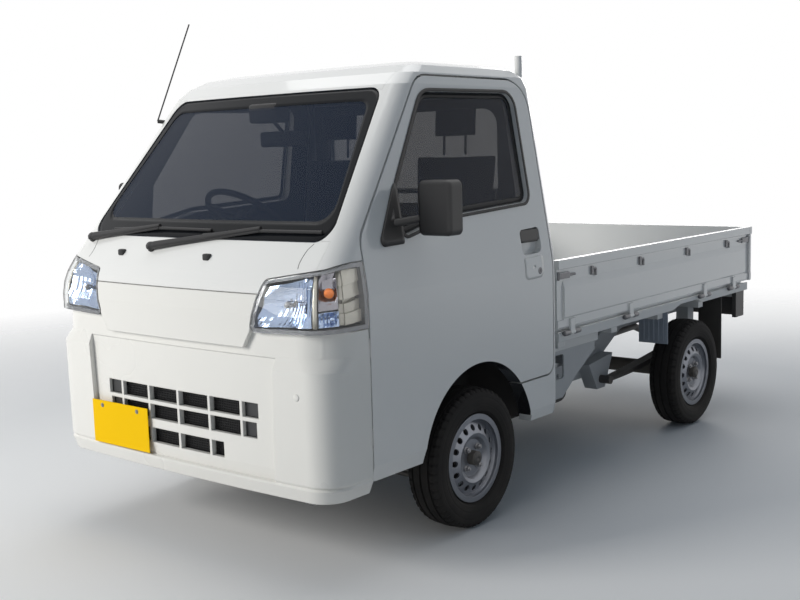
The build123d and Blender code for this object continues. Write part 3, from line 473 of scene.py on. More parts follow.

# Road wheels: pressed steel discs painted silver, welded in rolled rims, on four nuts.
# The tyres are black rubber with three grooves round the tread, cut shoulders and ribbed walls.
# The wheels' silver is laid darker and bluer than bare silver paint: painted shade over their own silver.
shaded_wheel_silver = finish("wheel paint with painted shade", (0.22, 0.235, 0.27), 0.34, 0.75, grain=400, depth=0.0002, dust=0.25,
                      dust_top=0.6, edge=0.003)
tyre_rubber = finish("tyre rubber", (0.007, 0.007, 0.008), 0.75, grain=260, depth=0.0006, dust=0.12,
                     dust_top=0.6, edge=0.001, specular=0.18)
nut_steel = finish("nut steel", (0.32, 0.32, 0.33), 0.35, 0.9, grain=300, depth=0.0001)
cap_black = finish("hub black", (0.02, 0.02, 0.022), 0.5, grain=200, depth=0.0003, dust=0.3, dust_top=0.6)
wheel_names = ("front_left", "front_right", "rear_left", "rear_right")
wear(shaded_wheel_silver, *("wheel_" + name for name in wheel_names))
TYRE_WALL = [  # across from the middle of the tyre, radius
    (0.050, 0.1525), (0.0505, 0.170), (0.0560, 0.1745), (0.0665, 0.1810), (0.0688, 0.1890), (0.0705, 0.1960),
    (0.0716, 0.2000), (0.0708, 0.2030), (0.0722, 0.2090), (0.0725, 0.2165), (0.0722, 0.2240), (0.0708, 0.2300),
    (0.0712, 0.2340), (0.0698, 0.2430), (0.0675, 0.2480),
]
TYRE_TREAD = [  # across, radius, cut across the shoulder
    (0.0640, 0.2530, 1), (0.0605, 0.2575, 1), (0.0560, 0.2618, 1), (0.0420, 0.2632, 1), (0.0400, 0.2638, 0),
    (0.0385, 0.2570, 0), (0.0335, 0.2570, 0), (0.0320, 0.2645, 0), (0.0120, 0.2658, 0), (0.0050, 0.2660, 0),
    (0.0035, 0.2590, 0),
]
wall = [(x, r, 0) for x, r in TYRE_WALL] + TYRE_TREAD
tyre_profile = wall + [(-x, r, cut) for x, r, cut in reversed(wall)]
tyre_steps = 192
cut_every = 4
cut_depth = 0.0055
disc_offset = 0.038
nut_circle = 0.050
HUB_CAP = [(0.0, 0.0272), (0.024, 0.0255), (0.030, 0.0215), (0.032, 0.012), (0.032, 0.001), (0.0, 0.001)]
cap_steps = 40


def turned_points(count):
    """Cosine and sine of equal steps round a circle."""
    angles = [2 * math.pi * i / count for i in range(count)]
    return [(math.cos(angle), math.sin(angle)) for angle in angles]


def revolved(profile, steps, place, sign, shape=None):
    """A closed ring turned about the wheel's axle from rows that start with (across, radius)."""
    points, faces = [], []
    count = len(profile)
    for i, (ahead, up) in enumerate(turned_points(steps)):
        for row in profile:
            radius = row[1] - (shape(i, row) if shape else 0.0)
            points.append((place[0] + sign * row[0], place[1] + radius * ahead, place[2] + radius * up))
    for i in range(steps):
        for j in range(count):
            a, b = i * count + j, i * count + (j + 1) % count
            c, d = (i + 1) % steps * count + (j + 1) % count, (i + 1) % steps * count + j
            faces.append((a, b, c, d) if sign > 0 else (d, c, b, a))
    mesh = bpy.data.meshes.new("ring")
    mesh.from_pydata(points, [], faces)
    return mesh


def shoulder_cut(i, row):
    return cut_depth if row[2] and i % cut_every == 0 else 0.0


for name in wheel_names:
    low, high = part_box("tyre_" + name)
    place = (low + high) / 2
    sign = 1 if place.x > 0 else -1
    body = "wheel_" + name
    mesh = revolved(tyre_profile, tyre_steps, place, sign, shoulder_cut)
    tyre = piece("tyre_tread_" + name, outward(mesh), tyre_rubber, body, smooth=False)
    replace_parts(tyre, "tyre_" + name)

    spots = []
    for k in range(4):
        angle = math.pi / 4 + k * math.pi / 2
        along, up = nut_circle * math.cos(angle), nut_circle * math.sin(angle)
        spots.append(((place.x + sign * disc_offset, place.y + along, place.z + up), (sign, 0, 0)))
    bolted("wheel_nuts_" + name, spots, nut_steel, body, "steel",
           Radius=0.0105, Height=0.015, Washer=0.0135, Tip=1.35)

    mesh = revolved([(x + disc_offset, r) for x, r in HUB_CAP], cap_steps, place, sign)
    piece("hub_cap_" + name, outward(mesh), cap_black, body)

# Cab shell: welded steel pressings in solid white, lacquered, joined at the roof gutters, pillars and sills.
# The floor underneath is sealed in black and dusty; the body's faces inside the front wheel houses are
# near-black.
# Each finish below paints its panels' inner faces dark grey: trim colour and painted shade together.
LINED_AND_SHADED_PANELS = [  # finish name, which way its inner face looks (across to the middle, along, up), nodes
    ("body white side", (-1.0, 0.0, 0.0), ("cab_side_left", "cab_side_right", "door_left", "door_right")),
    ("body white roof", (0.0, 0.0, -1.0), ("cab_roof",)),
    ("body white back", (0.0, -1.0, 0.0), ("cab_back_panel",)),
    ("body white front", (0.0, 1.0, 0.0), ("cowl_panel",)),
    ("body white", None, ()),
]
for name, inner, panels in LINED_AND_SHADED_PANELS:
    body_white = finish(name, (0.80, 0.80, 0.785), 0.20, grain=900, depth=0.00002, shade=0.015, dust=0.10,
                        dust_top=0.75, edge=0.004, coat=0.6, lined_and_shaded=inner)
    wear(body_white, *panels)
floor_black = finish("floor sealer", (0.028, 0.028, 0.030), 0.7, grain=160, depth=0.0006, dust=0.35, edge=0.004)
wear(floor_black, "cab_floor")

# Front cover: one moulded plastic bumper and nose panel in a creamier white, with slots for cooling air.
# The blank plate is screwed to it on the right, and steel towing eyes hang below it.
# A thin flush patch closes each of its corners under the headlamps.
cover_white = finish("cover white", (0.80, 0.79, 0.755), 0.28, grain=700, depth=0.00003, shade=0.02, dust=0.10,
                     edge=0.006, coat=0.4)
cover_flush = finish("cover white flush", (0.80, 0.79, 0.755), 0.28, grain=700, depth=0.00003, shade=0.02,
                     edge=0.00002, coat=0.4)
plate_yellow = finish("plate yellow", (0.92, 0.56, 0.001), 0.55, grain=300, depth=0.0001, shade=0.03,
                      specular=0.12)
mesh_black = finish("grille black", (0.010, 0.010, 0.011), 0.55, grain=300, depth=0.0003, edge=0.001)
cell_black = finish("grille blank", (0.045, 0.046, 0.048), 0.5, grain=300, depth=0.0002)
hook_steel = finish("hook steel", (0.20, 0.20, 0.21), 0.45, 0.7, grain=240, depth=0.0003, dust=0.3)
wear(cover_white, "front_bumper")
wear(plate_yellow, "licence_plate")
SIDES = (("left", 1), ("right", -1))


def block(name, low, high, rounding, segments=3):
    """A rounded block between two corners."""
    work = bmesh.new()
    low, high = Vector(low), Vector(high)
    size = Matrix.Diagonal((*(abs(length) for length in high - low), 1.0))
    bmesh.ops.create_cube(work, size=1.0, matrix=Matrix.Translation((low + high) / 2) @ size)
    bmesh.ops.bevel(work, geom=work.edges[:] + work.verts[:], offset=rounding, segments=segments, profile=0.5,
                    affect="EDGES")
    bmesh.ops.recalc_face_normals(work, faces=work.faces)
    return meshed(name, work)


pocket_half = 0.434
pocket_low, pocket_high = 0.377, 0.603
mesh_front = nose_y + 0.046
GRILLE_BLANKS = [(0.543, 0.594, 0.332, 0.406), (0.474, 0.527, 0.332, 0.396)]  # foot, head, inner and outer end


def pocket(start, end):
    """Two corners of the grille's pocket, between two depths behind the front of its mesh."""
    return (-pocket_half, mesh_front + start, pocket_low), (pocket_half, mesh_front + end, pocket_high)


backing = block("backing", *pocket(0.004, 0.008), 0.001, 1)
upright = slatted(mesh_black, *pocket(0.001, 0.005), 96, 0, 0.28)
level_bars = slatted(mesh_black, *pocket(0.0, 0.004), 26, 2, 0.28)
grille = joined("grille mesh", backing, upright, level_bars)
piece("grille_mesh", grille, mesh_black, "chassis", smooth=False)
blanks = [
    block("blank", (sign * inner, nose_y + 0.041, foot), (sign * outer, nose_y + 0.0455, head), 0.001, 1)
    for foot, head, inner, outer in GRILLE_BLANKS for sign in (1, -1)
]
piece("grille_blanks", joined("grille blanks", *blanks), cell_black, "chassis", smooth=False)
low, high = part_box("licence_plate")
screws = [((x, low.y, high.z - 0.018), (0, -1, 0)) for x in (low.x + 0.062, high.x - 0.062)]
bolted("plate_screws", screws, nut_steel, "chassis", "steel",
       Sides=6, Radius=0.0052, Height=0.004, Washer=0.0085, Tip=0.9)


def surface_of(*names):
    """The surface of CAD nodes, for laying things on."""
    points, faces = [], []
    for name in names:
        mesh = nodes[name].data
        start = len(points)
        points += [v.co.copy() for v in mesh.vertices]
        faces += [[start + i for i in face.vertices] for face in mesh.polygons]
    return BVHTree.FromPolygons(points, faces)


def from_front(point):
    return Vector((point[0], -3.0, point[1])), Vector((0, 1, 0))


def woven(name, rows, closed=False):
    """A mesh of quads from rows of points; a closed one joins each row's end to its start."""
    count = len(rows[0])
    faces = []
    for i in range(len(rows) - 1):
        for j in range(count if closed else count - 1):
            k = (j + 1) % count
            faces.append((i * count + j, i * count + k, (i + 1) * count + k, (i + 1) * count + j))
    mesh = bpy.data.meshes.new(name)
    mesh.from_pydata([tuple(p) for row in rows for p in row], [], faces)
    return mesh


def thicken(made, thickness, offset=0.0):
    wall = made.modifiers.new("wall", "SOLIDIFY")
    wall.thickness = thickness
    wall.offset = offset


def spun(name, profile, start, towards, steps=20):
    """A turned form about a line from start: rows of (along, radius)."""
    turn = Vector((0, 0, 1)).rotation_difference(Vector(towards)).to_matrix()
    rows = [
        [Vector(start) + turn @ Vector((radius * a, radius * b, along)) for a, b in turned_points(steps)]
        for along, radius in profile
    ]
    return outward(woven(name, rows, closed=True))


def outward_skin(name, rows, way):
    """An open skin of quads that faces along a direction."""
    mesh = woven(name, rows)
    if mesh.polygons[0].normal.dot(Vector(way)) < 0:
        mesh.flip_normals()
    return mesh


def bent(name, points, radius, side, steps=10):
    """A round rod bent in one plane, along points that lie square to the side direction."""
    points = [Vector(point) for point in points]
    side = Vector(side)
    rows = []
    for i, here in enumerate(points):
        ahead = points[min(i + 1, len(points) - 1)] - points[max(i - 1, 0)]
        across = ahead.normalized().cross(side)
        rows.append([here + radius * (a * side + b * across) for a, b in turned_points(steps)])
    return outward(woven(name, rows, closed=True))


def swung(degrees):
    """The direction that many degrees from straight ahead, towards the left."""
    return Vector((math.sin(math.radians(degrees)), -math.cos(math.radians(degrees)), 0.0))


TOWING_EYE = [  # across, up
    (-0.030, 0.310), (-0.030, 0.252), (-0.022, 0.238), (-0.008, 0.232), (0.008, 0.232), (0.022, 0.238),
    (0.030, 0.252), (0.030, 0.310),
]
eye_side, eye_back, eye_rod = 0.50, 0.165, 0.007
cover_surface = surface_of("front_bumper")
corner_centre = (0.586, nose_y + 0.190)
CORNER_TURN = [32.7 + 0.6 * k for k in range(13)]  # degrees from straight ahead, across the corner
CORNER_RISE = (0.767, 0.776, 0.792, 0.812, 0.830, 0.845)
corner_lift, corner_crown, corner_wall = 0.00005, 0.0006, 0.0015
for side, sign in SIDES:
    rows = []
    for z in CORNER_RISE:
        centre = Vector((*corner_centre, z))
        reach = []
        for way in (swung(CORNER_TURN[0]), swung(CORNER_TURN[-1])):
            reach.append((cover_surface.ray_cast(centre + way * 0.5, -way)[0] - centre).length)
        row = []
        for degrees in CORNER_TURN:
            share = (degrees - CORNER_TURN[0]) / (CORNER_TURN[-1] - CORNER_TURN[0])
            skin = reach[0] + (reach[1] - reach[0]) * share
            spot = centre + swung(degrees) * (skin + corner_lift + corner_crown * math.sin(math.pi * share))
            row.append(Vector((sign * spot.x, spot.y, spot.z)))
        rows.append(row)
    patch = outward_skin("cover corner", rows, (sign, -1.0, 0.0))
    patch = piece("cover_corner_" + side, patch, cover_flush, "chassis", smooth=False)
    thicken(patch, corner_wall, -1.0)
    eye_line = [(sign * eye_side + x, nose_y + eye_back, z) for x, z in TOWING_EYE]
    eye_mesh = bent("towing eye", eye_line, eye_rod, (0, 1, 0))
    piece("towing_eye_" + side, eye_mesh, hook_steel, "chassis")
PAD_CAP = [  # along, radius
    (-0.003, 0.001), (-0.003, 0.012), (0.0008, 0.012), (0.0016, 0.0105), (0.0016, 0.001),
]
seat = cover_surface.ray_cast(*from_front((0.600, 0.640)))
piece("pad_cap", spun("cap", PAD_CAP, seat[0], seat[1], 28), cover_white, "chassis")

# Headlamps: a clear moulded lens over a dark tray, with a bright faceted reflector and an amber turn lamp.
# The reflectors are plated mouldings that follow the lens round the corner of the cab.
tray_grey = finish("lamp tray grey", (0.20, 0.205, 0.22), 0.3, 0.3, grain=300, depth=0.0002)
# The plating's blue tint is a painted reflection of the sky over neutral bright metal.
plated = finish("reflector plating and painted sky", (0.38, 0.46, 0.62), 0.07, 1.0, grain=40, depth=0.00005, edge=0.001)
satin_cell = finish("satin lamp cell", (0.50, 0.48, 0.43), 0.28, 0.35, grain=200, depth=0.0001)
# A darker copy of the reflector plating: painted shade on the turn reflectors.
shaded_plating = finish("shaded reflector", (0.30, 0.29, 0.32), 0.08, 1.0, grain=40, depth=0.00005, edge=0.001)
amber = finish("amber bulb", (0.85, 0.20, 0.01), 0.12, depth=0.00005, coat=0.6)
lens_clear = surface("lamp lens", {
    "Base Color": (0.97, 0.98, 0.98, 1), "Roughness": 0.0, "Transmission Weight": 1.0, "IOR": 1.25})[0]
wear(tray_grey, "headlamp_housings")
wear(lens_clear, "headlamp_lenses")
lamp_focus = (0.55, -1.47)
lens_gap = 0.006
facet_depth, cell_wall = 0.0016, 0.0016
lens_surface = surface_of("headlamp_lenses")
LAMP_CELLS = [  # name, finish, start, end and lean in degrees, foot, head, depth at rim, in middle, columns, rows
    ("main_reflector", plated, -33.0, 30.0, 8.0, 0.05, 0.95, 0.008, 0.050, 22, 12),
    ("turn_reflector", shaded_plating, 36.0, 54.0, 0.0, 0.34, 0.95, 0.012, 0.042, 6, 6),
    ("position_reflector", plated, 36.0, 54.0, 0.0, 0.05, 0.31, 0.010, 0.032, 11, 4),
]
SIDE_STEPS = [  # share of the height, depth behind the lens
    (0.05, 0.008), (0.24, 0.008), (0.24, 0.016), (0.40, 0.016), (0.40, 0.034), (0.47, 0.034), (0.47, 0.013),
    (0.70, 0.013), (0.70, 0.007), (0.95, 0.007),
]
SIDE_COLUMNS = [  # degrees, added depth
    (55.0, 0.020), (60.0, 0.008), (60.2, 0.0), (73.0, 0.0), (73.2, 0.005), (87.0, 0.003),
]
BULBS = [  # name, degrees, share of the height, finish, radius
    ("main_bulb", -2.0, 0.5, tray_grey, 0.012),
    ("turn_bulb", 46.0, 0.62, amber, 0.0165),
    ("position_bulb", 48.0, 0.18, plated, 0.009),
]
BULB_SHAPE = [  # share of the length, share of the radius
    (0.0, 0.7), (0.3, 0.75), (0.36, 1.0), (0.75, 1.0), (0.93, 0.7),
]
bulb_front, bulb_root, bulb_tip = 0.012, 0.044, 0.001
DIVIDER = [(31.0, 0.012), (31.4, 0.004), (34.6, 0.004), (35.0, 0.012)]  # degrees, depth behind the lens
DIVIDER_RISE = (0.03, 0.25, 0.5, 0.75, 0.97)


def lamp_point(degrees, share, inset, sign):
    """A point behind the lens, round the corner by degrees and up by a share of the lens's height there."""
    round_share = (degrees + 32.0) / 120.0
    foot, head = 0.850 + 0.012 * round_share, 0.990 + 0.080 * round_share
    way = swung(degrees)
    hit = lens_surface.ray_cast(Vector((*lamp_focus, foot + (head - foot) * share)), way)[0]
    point = hit - way * (inset + lens_gap)
    return Vector((sign * point.x, point.y, point.z))


for side, sign in SIDES:
    for name, cell_finish, start, end, lean, foot, head, rim, middle, columns, lines in LAMP_CELLS:
        rows = []
        for j in range(lines + 1):
            row = []
            for i in range(columns + 1):
                u, v = i / columns, j / lines
                bowl = max(0.0, 1.0 - ((2 * u - 1) ** 2 + (2 * v - 1) ** 2) * 0.8)
                facet = facet_depth * (i % 2) if 0 < i < columns and 0 < j < lines else 0.0
                degrees = start + lean * v * (1 - u) + (end - start) * u
                inset = rim + (middle - rim) * bowl + facet
                row.append(lamp_point(degrees, foot + (head - foot) * v, inset, sign))
            rows.append(row)
        cell = piece(f"{name}_{side}", woven(name, rows), cell_finish, "chassis", smooth=False)
        thicken(cell, cell_wall)
    rows = [
        [lamp_point(degrees, share, inset + more, sign) for degrees, more in SIDE_COLUMNS]
        for share, inset in SIDE_STEPS
    ]
    cell = woven("side cell", rows)
    cell = piece("side_cell_" + side, cell, satin_cell, "chassis", smooth=False)
    thicken(cell, cell_wall)
    for name, degrees, share, material, radius in BULBS:
        front, root = (lamp_point(degrees, share, inset, sign) for inset in (bulb_front, bulb_root))
        length = (front - root).length
        profile = [(length * along, radius * wide) for along, wide in BULB_SHAPE]
        profile = [(0.0, bulb_tip)] + profile + [(length, bulb_tip)]
        piece(f"{name}_{side}", spun(name, profile, root, front - root), material, "chassis")
    rows = [[lamp_point(degrees, share, inset, sign) for share in DIVIDER_RISE] for degrees, inset in DIVIDER]
    divider = piece("lamp_divider_" + side, woven("divider", rows), satin_cell, "chassis")
    thicken(divider, 0.002)

# Windscreen: laminated glass bonded into the opening, with a black printed border.
# The door and rear glass is toughened, and all of it is tinted.
screen_glass = surface("window glass", {
    "Base Color": (0.006, 0.017, 0.042, 1), "Roughness": 0.0, "Specular IOR Level": 0.2, "Alpha": 0.52})[0]
printed_black = finish("printed black", (0.006, 0.007, 0.009), 0.25, grain=300, depth=0.00002, edge=0.0005,
                       specular=0.15)
wear(screen_glass, "windscreen", "rear_window", "door_glass_left", "door_glass_right")


def outlined(rows, shrink=0.0, arc=5, run=12):
    """Points round an outline of (across, up, corner radius), moved in by shrink, always the same number."""
    area = sum(rows[i - 1][0] * rows[i][1] - rows[i][0] * rows[i - 1][1] for i in range(len(rows)))
    turn = 1.0 if area > 0 else -1.0
    path = []
    for i in range(len(rows)):
        before, here, after = (Vector(rows[k % len(rows)][:2]) for k in (i - 1, i, i + 1))
        come, leave = (here - before).normalized(), (after - here).normalized()
        cross = come.x * leave.y - come.y * leave.x
        bend = 1 if cross > 0 else -1
        p = before + turn * shrink * Vector((-come.y, come.x))
        q = here + turn * shrink * Vector((-leave.y, leave.x))
        t = ((q.x - p.x) * leave.y - (q.y - p.y) * leave.x) / cross
        radius = max(rows[i][2] - shrink * (1 if cross * turn > 0 else -1), 0.001)
        half = math.acos(max(-1.0, min(1.0, come.dot(leave)))) / 2
        a = p + t * come - come * radius * math.tan(half)
        middle = a + Vector((-come.y, come.x)) * (radius * bend)
        start = math.atan2(a.y - middle.y, a.x - middle.x)
        angles = [start + 2 * half * bend * k / arc for k in range(arc + 1)]
        path.append([middle + radius * Vector((math.cos(angle), math.sin(angle))) for angle in angles])
    points = []
    for i, curve in enumerate(path):
        following = path[(i + 1) % len(path)][0]
        points += curve
        points += [curve[-1].lerp(following, k / run) for k in range(1, run)]
    return points


def framed(name, surface, outer, inner, place, lift, depth=4):
    """A band between two outlines, laid on a surface and lifted off it."""
    rows = []
    for k in range(depth + 1):
        row = []
        for a, b in zip(outer, inner):
            origin, way = place(a.lerp(b, k / depth))
            hit = surface.ray_cast(origin, way)[0]
            if hit is None:
                hit = surface.find_nearest(origin + way * 2.0)[0]
            row.append(hit - way * lift)
        rows.append(row)
    return outward(woven(name, rows, closed=True), closed=False)


screen_surface = surface_of("windscreen")
SCREEN_EDGE = [(0.543, 1.638, 0.058), (0.640, 1.130, 0.053), (-0.640, 1.130, 0.053), (-0.543, 1.638, 0.058)]
SCREEN_CLEAR = [(0.512, 1.592, 0.050), (0.606, 1.192, 0.050), (-0.606, 1.192, 0.050), (-0.512, 1.592, 0.050)]
print_lift, print_wall = 0.0006, 0.0006
screen_outlines = [outlined(rows, run=24) for rows in (SCREEN_EDGE, SCREEN_CLEAR)]
border = framed("border", screen_surface, *screen_outlines, from_front, print_lift)
thicken(piece("windscreen_border", border, printed_black, "chassis"), print_wall)

# Fittings of the cab front: black moulded mirror heads, wiper arms and blades, washer nozzles, the aerial rod,
# and the inside mirror on its housing at the top of the screen.
# Each is clipped, screwed or bonded to what it stands on.
fitting_black = finish("fitting black", (0.014, 0.014, 0.015), 0.45, grain=500, depth=0.0003, edge=0.006)
mirror_silver = finish("mirror silver", (0.86, 0.88, 0.90), 0.03, 1.0, grain=30, depth=0.00001, edge=0.001)
wear(fitting_black, "mirror_left", "mirror_right", "wipers", "aerial", "steering_column", "steering_wheel")
wear(nut_steel, "door_hinges")
pane_inner, pane_low, pane_high = 0.764, 1.146, 1.302
for side, sign in SIDES:
    low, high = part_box("mirror_" + side)
    outer = (high.x if sign > 0 else low.x) - 0.010 * sign
    pane = block("pane", (pane_inner * sign, high.y - 0.0005, pane_low),
                 (outer, high.y + 0.0025, pane_high), 0.0012)
    piece("mirror_glass_" + side, pane, mirror_silver, "door_" + side, smooth=False)
cowl_surface = surface_of("cowl_panel")


def block_at(name, place, low, high, rounding):
    return block(name, place + Vector(low), place + Vector(high), rounding)


nozzles = []
for x in (-0.36, 0.128):
    seat = cowl_surface.ray_cast(*from_front((x, 1.068)))[0]
    nozzles.append(block_at("nozzle", seat, (-0.016, -0.010, -0.010), (0.016, 0.012, 0.014), 0.006))
piece("washer_nozzles", joined("nozzles", *nozzles), fitting_black, "chassis")
COWL_SEAM = [(0.581, 1.124), (0.566, 1.106), (0.560, 1.082), (0.559, 1.064), (0.564, 1.047)]  # across, up
seam_width, seam_wall = 0.0022, 0.0004
seam_lift = Vector((0, -0.0003, 0.0002))
for side, sign in SIDES:
    rows = []
    for x, z in COWL_SEAM:
        edges = ((sign * (x + shift), z) for shift in (0.0, seam_width))
        rows.append([cowl_surface.ray_cast(*from_front(edge))[0] + seam_lift for edge in edges])
    seam = outward_skin("cowl seam", rows, (0, -1, 0.3))
    thicken(piece("cowl_seam_" + side, seam, mesh_black, "chassis"), seam_wall, -1.0)
arm_surface = surface_of("windscreen", "cowl_panel")
WIPER_ARMS = [  # pivot and end of each arm, across and up
    ((-0.600, 1.112), (-0.200, 1.160)), ((-0.190, 1.090), (0.330, 1.160)),
]
ARM_TAPER = [  # share of the length, half width, half height
    (0.0, 0.013, 0.010), (0.05, 0.014, 0.011), (0.35, 0.011, 0.009), (1.0, 0.0065, 0.0065),
]
ARM_SECTION = ((1, 0.6), (0.6, 1), (-0.6, 1), (-1, 0.6), (-1, -0.6), (-0.6, -1), (0.6, -1), (1, -0.6))
ARM_BOSS = [(0.0, 0.001), (0.0, 0.017), (0.018, 0.0165), (0.024, 0.012), (0.026, 0.001)]  # along, radius
screen_out = Vector((0.0, -0.79, 0.61))
arm_lift, boss_sink = 0.015, 0.014
arms = []
for spots in WIPER_ARMS:
    root, tip = (arm_surface.ray_cast(*from_front(spot))[0] + screen_out * arm_lift for spot in spots)
    along = (tip - root).normalized()
    out = (screen_out - along * screen_out.dot(along)).normalized()
    across = along.cross(out)
    rows = []
    for share, half, tall in ARM_TAPER:
        here = root.lerp(tip, share)
        rows.append([here + across * half * a + out * tall * b for a, b in ARM_SECTION])
    arms.append(outward(woven("arm", rows, closed=True)))
    arms.append(spun("boss", ARM_BOSS, root - out * boss_sink, out))
piece("wiper_arms", joined("wiper arms", *arms), fitting_black, "chassis", smooth=False)
glass_top = screen_surface.ray_cast(*from_front((0.0, 1.585)))[0]
inner_mirror = joined(
    "inner mirror",
    block_at("housing", glass_top, (-0.075, 0.004, -0.050), (0.075, 0.085, 0.022), 0.012),
    spun("arm", [(0.0, 0.008), (0.10, 0.007)], glass_top + Vector((0.0, 0.05, -0.03)), (0.0, 0.75, -0.66)),
    block_at("inner mirror", glass_top, (-0.125, 0.105, -0.140), (0.125, 0.130, -0.080), 0.011),
)
piece("inner_mirror", inner_mirror, fitting_black, "chassis")

# Doors: the glass runs in a black rubber channel, a black corner panel carries the mirror, and a black pull
# sits in a scoop. The lock's steel barrel is set in a pressed pad below the pull.
seal_rubber = finish("seal rubber", (0.012, 0.012, 0.013), 0.6, grain=400, depth=0.0002)
WINDOW_EDGE = [  # behind the nose, up, corner radius, as in the two below
    (0.455, 1.128, 0.020), (0.455, 1.304, 0.030), (0.672, 1.622, 0.090), (1.246, 1.628, 0.060),
    (1.246, 1.206, 0.040), (0.700, 1.180, 0.200),
]
SAIL_PANEL = [(0.312, 1.100, 0.020), (0.449, 1.104, 0.010), (0.449, 1.318, 0.006), (0.424, 1.290, 0.030)]
LOCK_PAD = [(1.152, 0.902, 0.024), (1.284, 0.906, 0.024), (1.284, 0.994, 0.010), (1.152, 0.990, 0.010)]
LOCK_BARREL = [  # along, radius
    (-0.004, 0.001), (-0.004, 0.0135), (0.0024, 0.0135), (0.0040, 0.0115), (0.0034, 0.0085), (0.0034, 0.001),
]
lock_place = (1.256, 0.932)
slot_half = Vector((0.0005, 0.0012, 0.0048))
belt_foot, skin_at_belt, skin_lean = 1.027, 0.725, 0.1717
for side, sign in SIDES:
    door = "door_" + side
    door_surface = surface_of(door)
    glass_surface = surface_of("door_glass_" + side)

    def from_side(point):
        return Vector((2.0 * sign, nose_y + point[0], point[1])), Vector((-sign, 0, 0))

    def laid_plate(name, outline, lift):
        rim = outlined(outline)
        middle = sum(rim, Vector((0.0, 0.0))) / len(rim)
        return framed(name, door_surface, rim, [middle.lerp(p, 0.02) for p in rim], from_side, lift, depth=5)

    rims = [outlined(WINDOW_EDGE, shrink) for shrink in (-0.013, -0.001, 0.003, 0.022)]
    rubber = framed("seal", door_surface, rims[0], rims[1], from_side, 0.0022, depth=2)
    thicken(piece("window_seal_" + side, rubber, seal_rubber, door), 0.0022)
    printed = framed("printed edge", glass_surface, rims[2], rims[3], from_side, 0.0005, depth=2)
    thicken(piece("window_border_" + side, printed, printed_black, door), print_wall)
    panel = laid_plate("sail", SAIL_PANEL, 0.003)
    thicken(piece("sail_panel_" + side, panel, fitting_black, door), 0.003)
    pull = block("pull", (-0.014, nose_y + 1.1505, 1.0520), (-0.0015, nose_y + 1.2825, 1.0985), 0.005)
    lip = block("lip", (-0.010, nose_y + 1.160, 1.0470), (-0.0035, nose_y + 1.274, 1.0560), 0.003)
    pull = joined("door pull", pull, lip)
    for point in pull.vertices:
        point.co.x = sign * (skin_at_belt - (point.co.z - belt_foot) * skin_lean + point.co.x)
    piece("door_pull_" + side, outward(pull), fitting_black, door, smooth=False)
    pad = laid_plate("lock pad", LOCK_PAD, 0.0008)
    thicken(piece("lock_pad_" + side, pad, body_white, door), 0.0014)
    lock = door_surface.ray_cast(*from_side(lock_place))[0]
    barrel = spun("barrel", LOCK_BARREL, lock, (sign, 0, 0), 28)
    piece("lock_barrel_" + side, barrel, hook_steel, door)
    middle = lock + Vector((sign * 0.0037, 0, 0))
    slot = block("slot", middle - slot_half, middle + slot_half, 0.0003, 1)
    piece("key_slot_" + side, slot, seal_rubber, door, smooth=False)

# Cab inside: a grained grey dashboard with slatted vents and a cluster hood, and two cloth seats.
# The seat pads are foam under woven cloth with sewn channels, filled tight.
dash_grey = finish("dash grey", (0.030, 0.030, 0.032), 0.6, grain=600, depth=0.0005, edge=0.012)
wear(dash_grey, "dashboard")
hood = block("hood", (-0.470, nose_y + 0.392, 1.098), (-0.195, nose_y + 0.500, 1.158), 0.026, 4)
piece("cluster_hood", hood, dash_grey, "chassis")
vents = []
for x in (-0.560, -0.090, 0.090, 0.560):
    vents.append(block("vent", (x - 0.052, nose_y + 0.462, 1.010), (x + 0.052, nose_y + 0.490, 1.084), 0.008))
    vents.append(slatted(dash_grey, (x - 0.044, nose_y + 0.488, 1.018),
                         (x + 0.044, nose_y + 0.495, 1.076), 6, 2))
piece("dash_vents", joined("dash vents", *vents), dash_grey, "chassis", smooth=False)
weave, given, result = effect("seat weave", [("Scale", 700.0)], ["Height"])
here = node(weave, "ShaderNodeTexCoord").outputs["Object"]
warp, weft = (
    node(weave, "ShaderNodeTexWave", {"Vector": here, "Scale": given["Scale"]}, bands_direction=way)
    for way in ("X", "DIAGONAL")
)
feed(weave, result, {"Height": maths(weave, "MAXIMUM", warp.outputs["Fac"], weft.outputs["Fac"])})
seat_cloth, tree, bsdf = surface("seat cloth", {"Roughness": 0.92, "Sheen Weight": 0.25})
mottle = placed_effect(tree, skin_grain, Scale=40.0)["Height"]
tone = blend(tree, mottle, (0.026, 0.027, 0.031), (0.045, 0.046, 0.052))
bump = node(tree, "ShaderNodeBump", {"Distance": 0.0006, "Height": placed_effect(tree, weave)["Height"]})
feed(tree, bsdf, {"Base Color": tone, "Normal": bump.outputs[0]})
SEAT_PADS = [  # name, half width, thickness, middle line as (behind the nose, up) from end to end, channels
    ("seat_cushion", 0.222, 0.092, ((0.832, 0.748), (0.980, 0.752), (1.140, 0.738)), 2),
    ("seat_back", 0.218, 0.078, ((1.205, 0.800), (1.236, 1.080), (1.272, 1.410)), 3),
    ("head_rest", 0.108, 0.062, ((1.268, 1.470), (1.277, 1.585)), 0),
]
seat_middle = 0.325
pad_swell = 0.012
pad_pressure = 4.0
settle_steps = 12


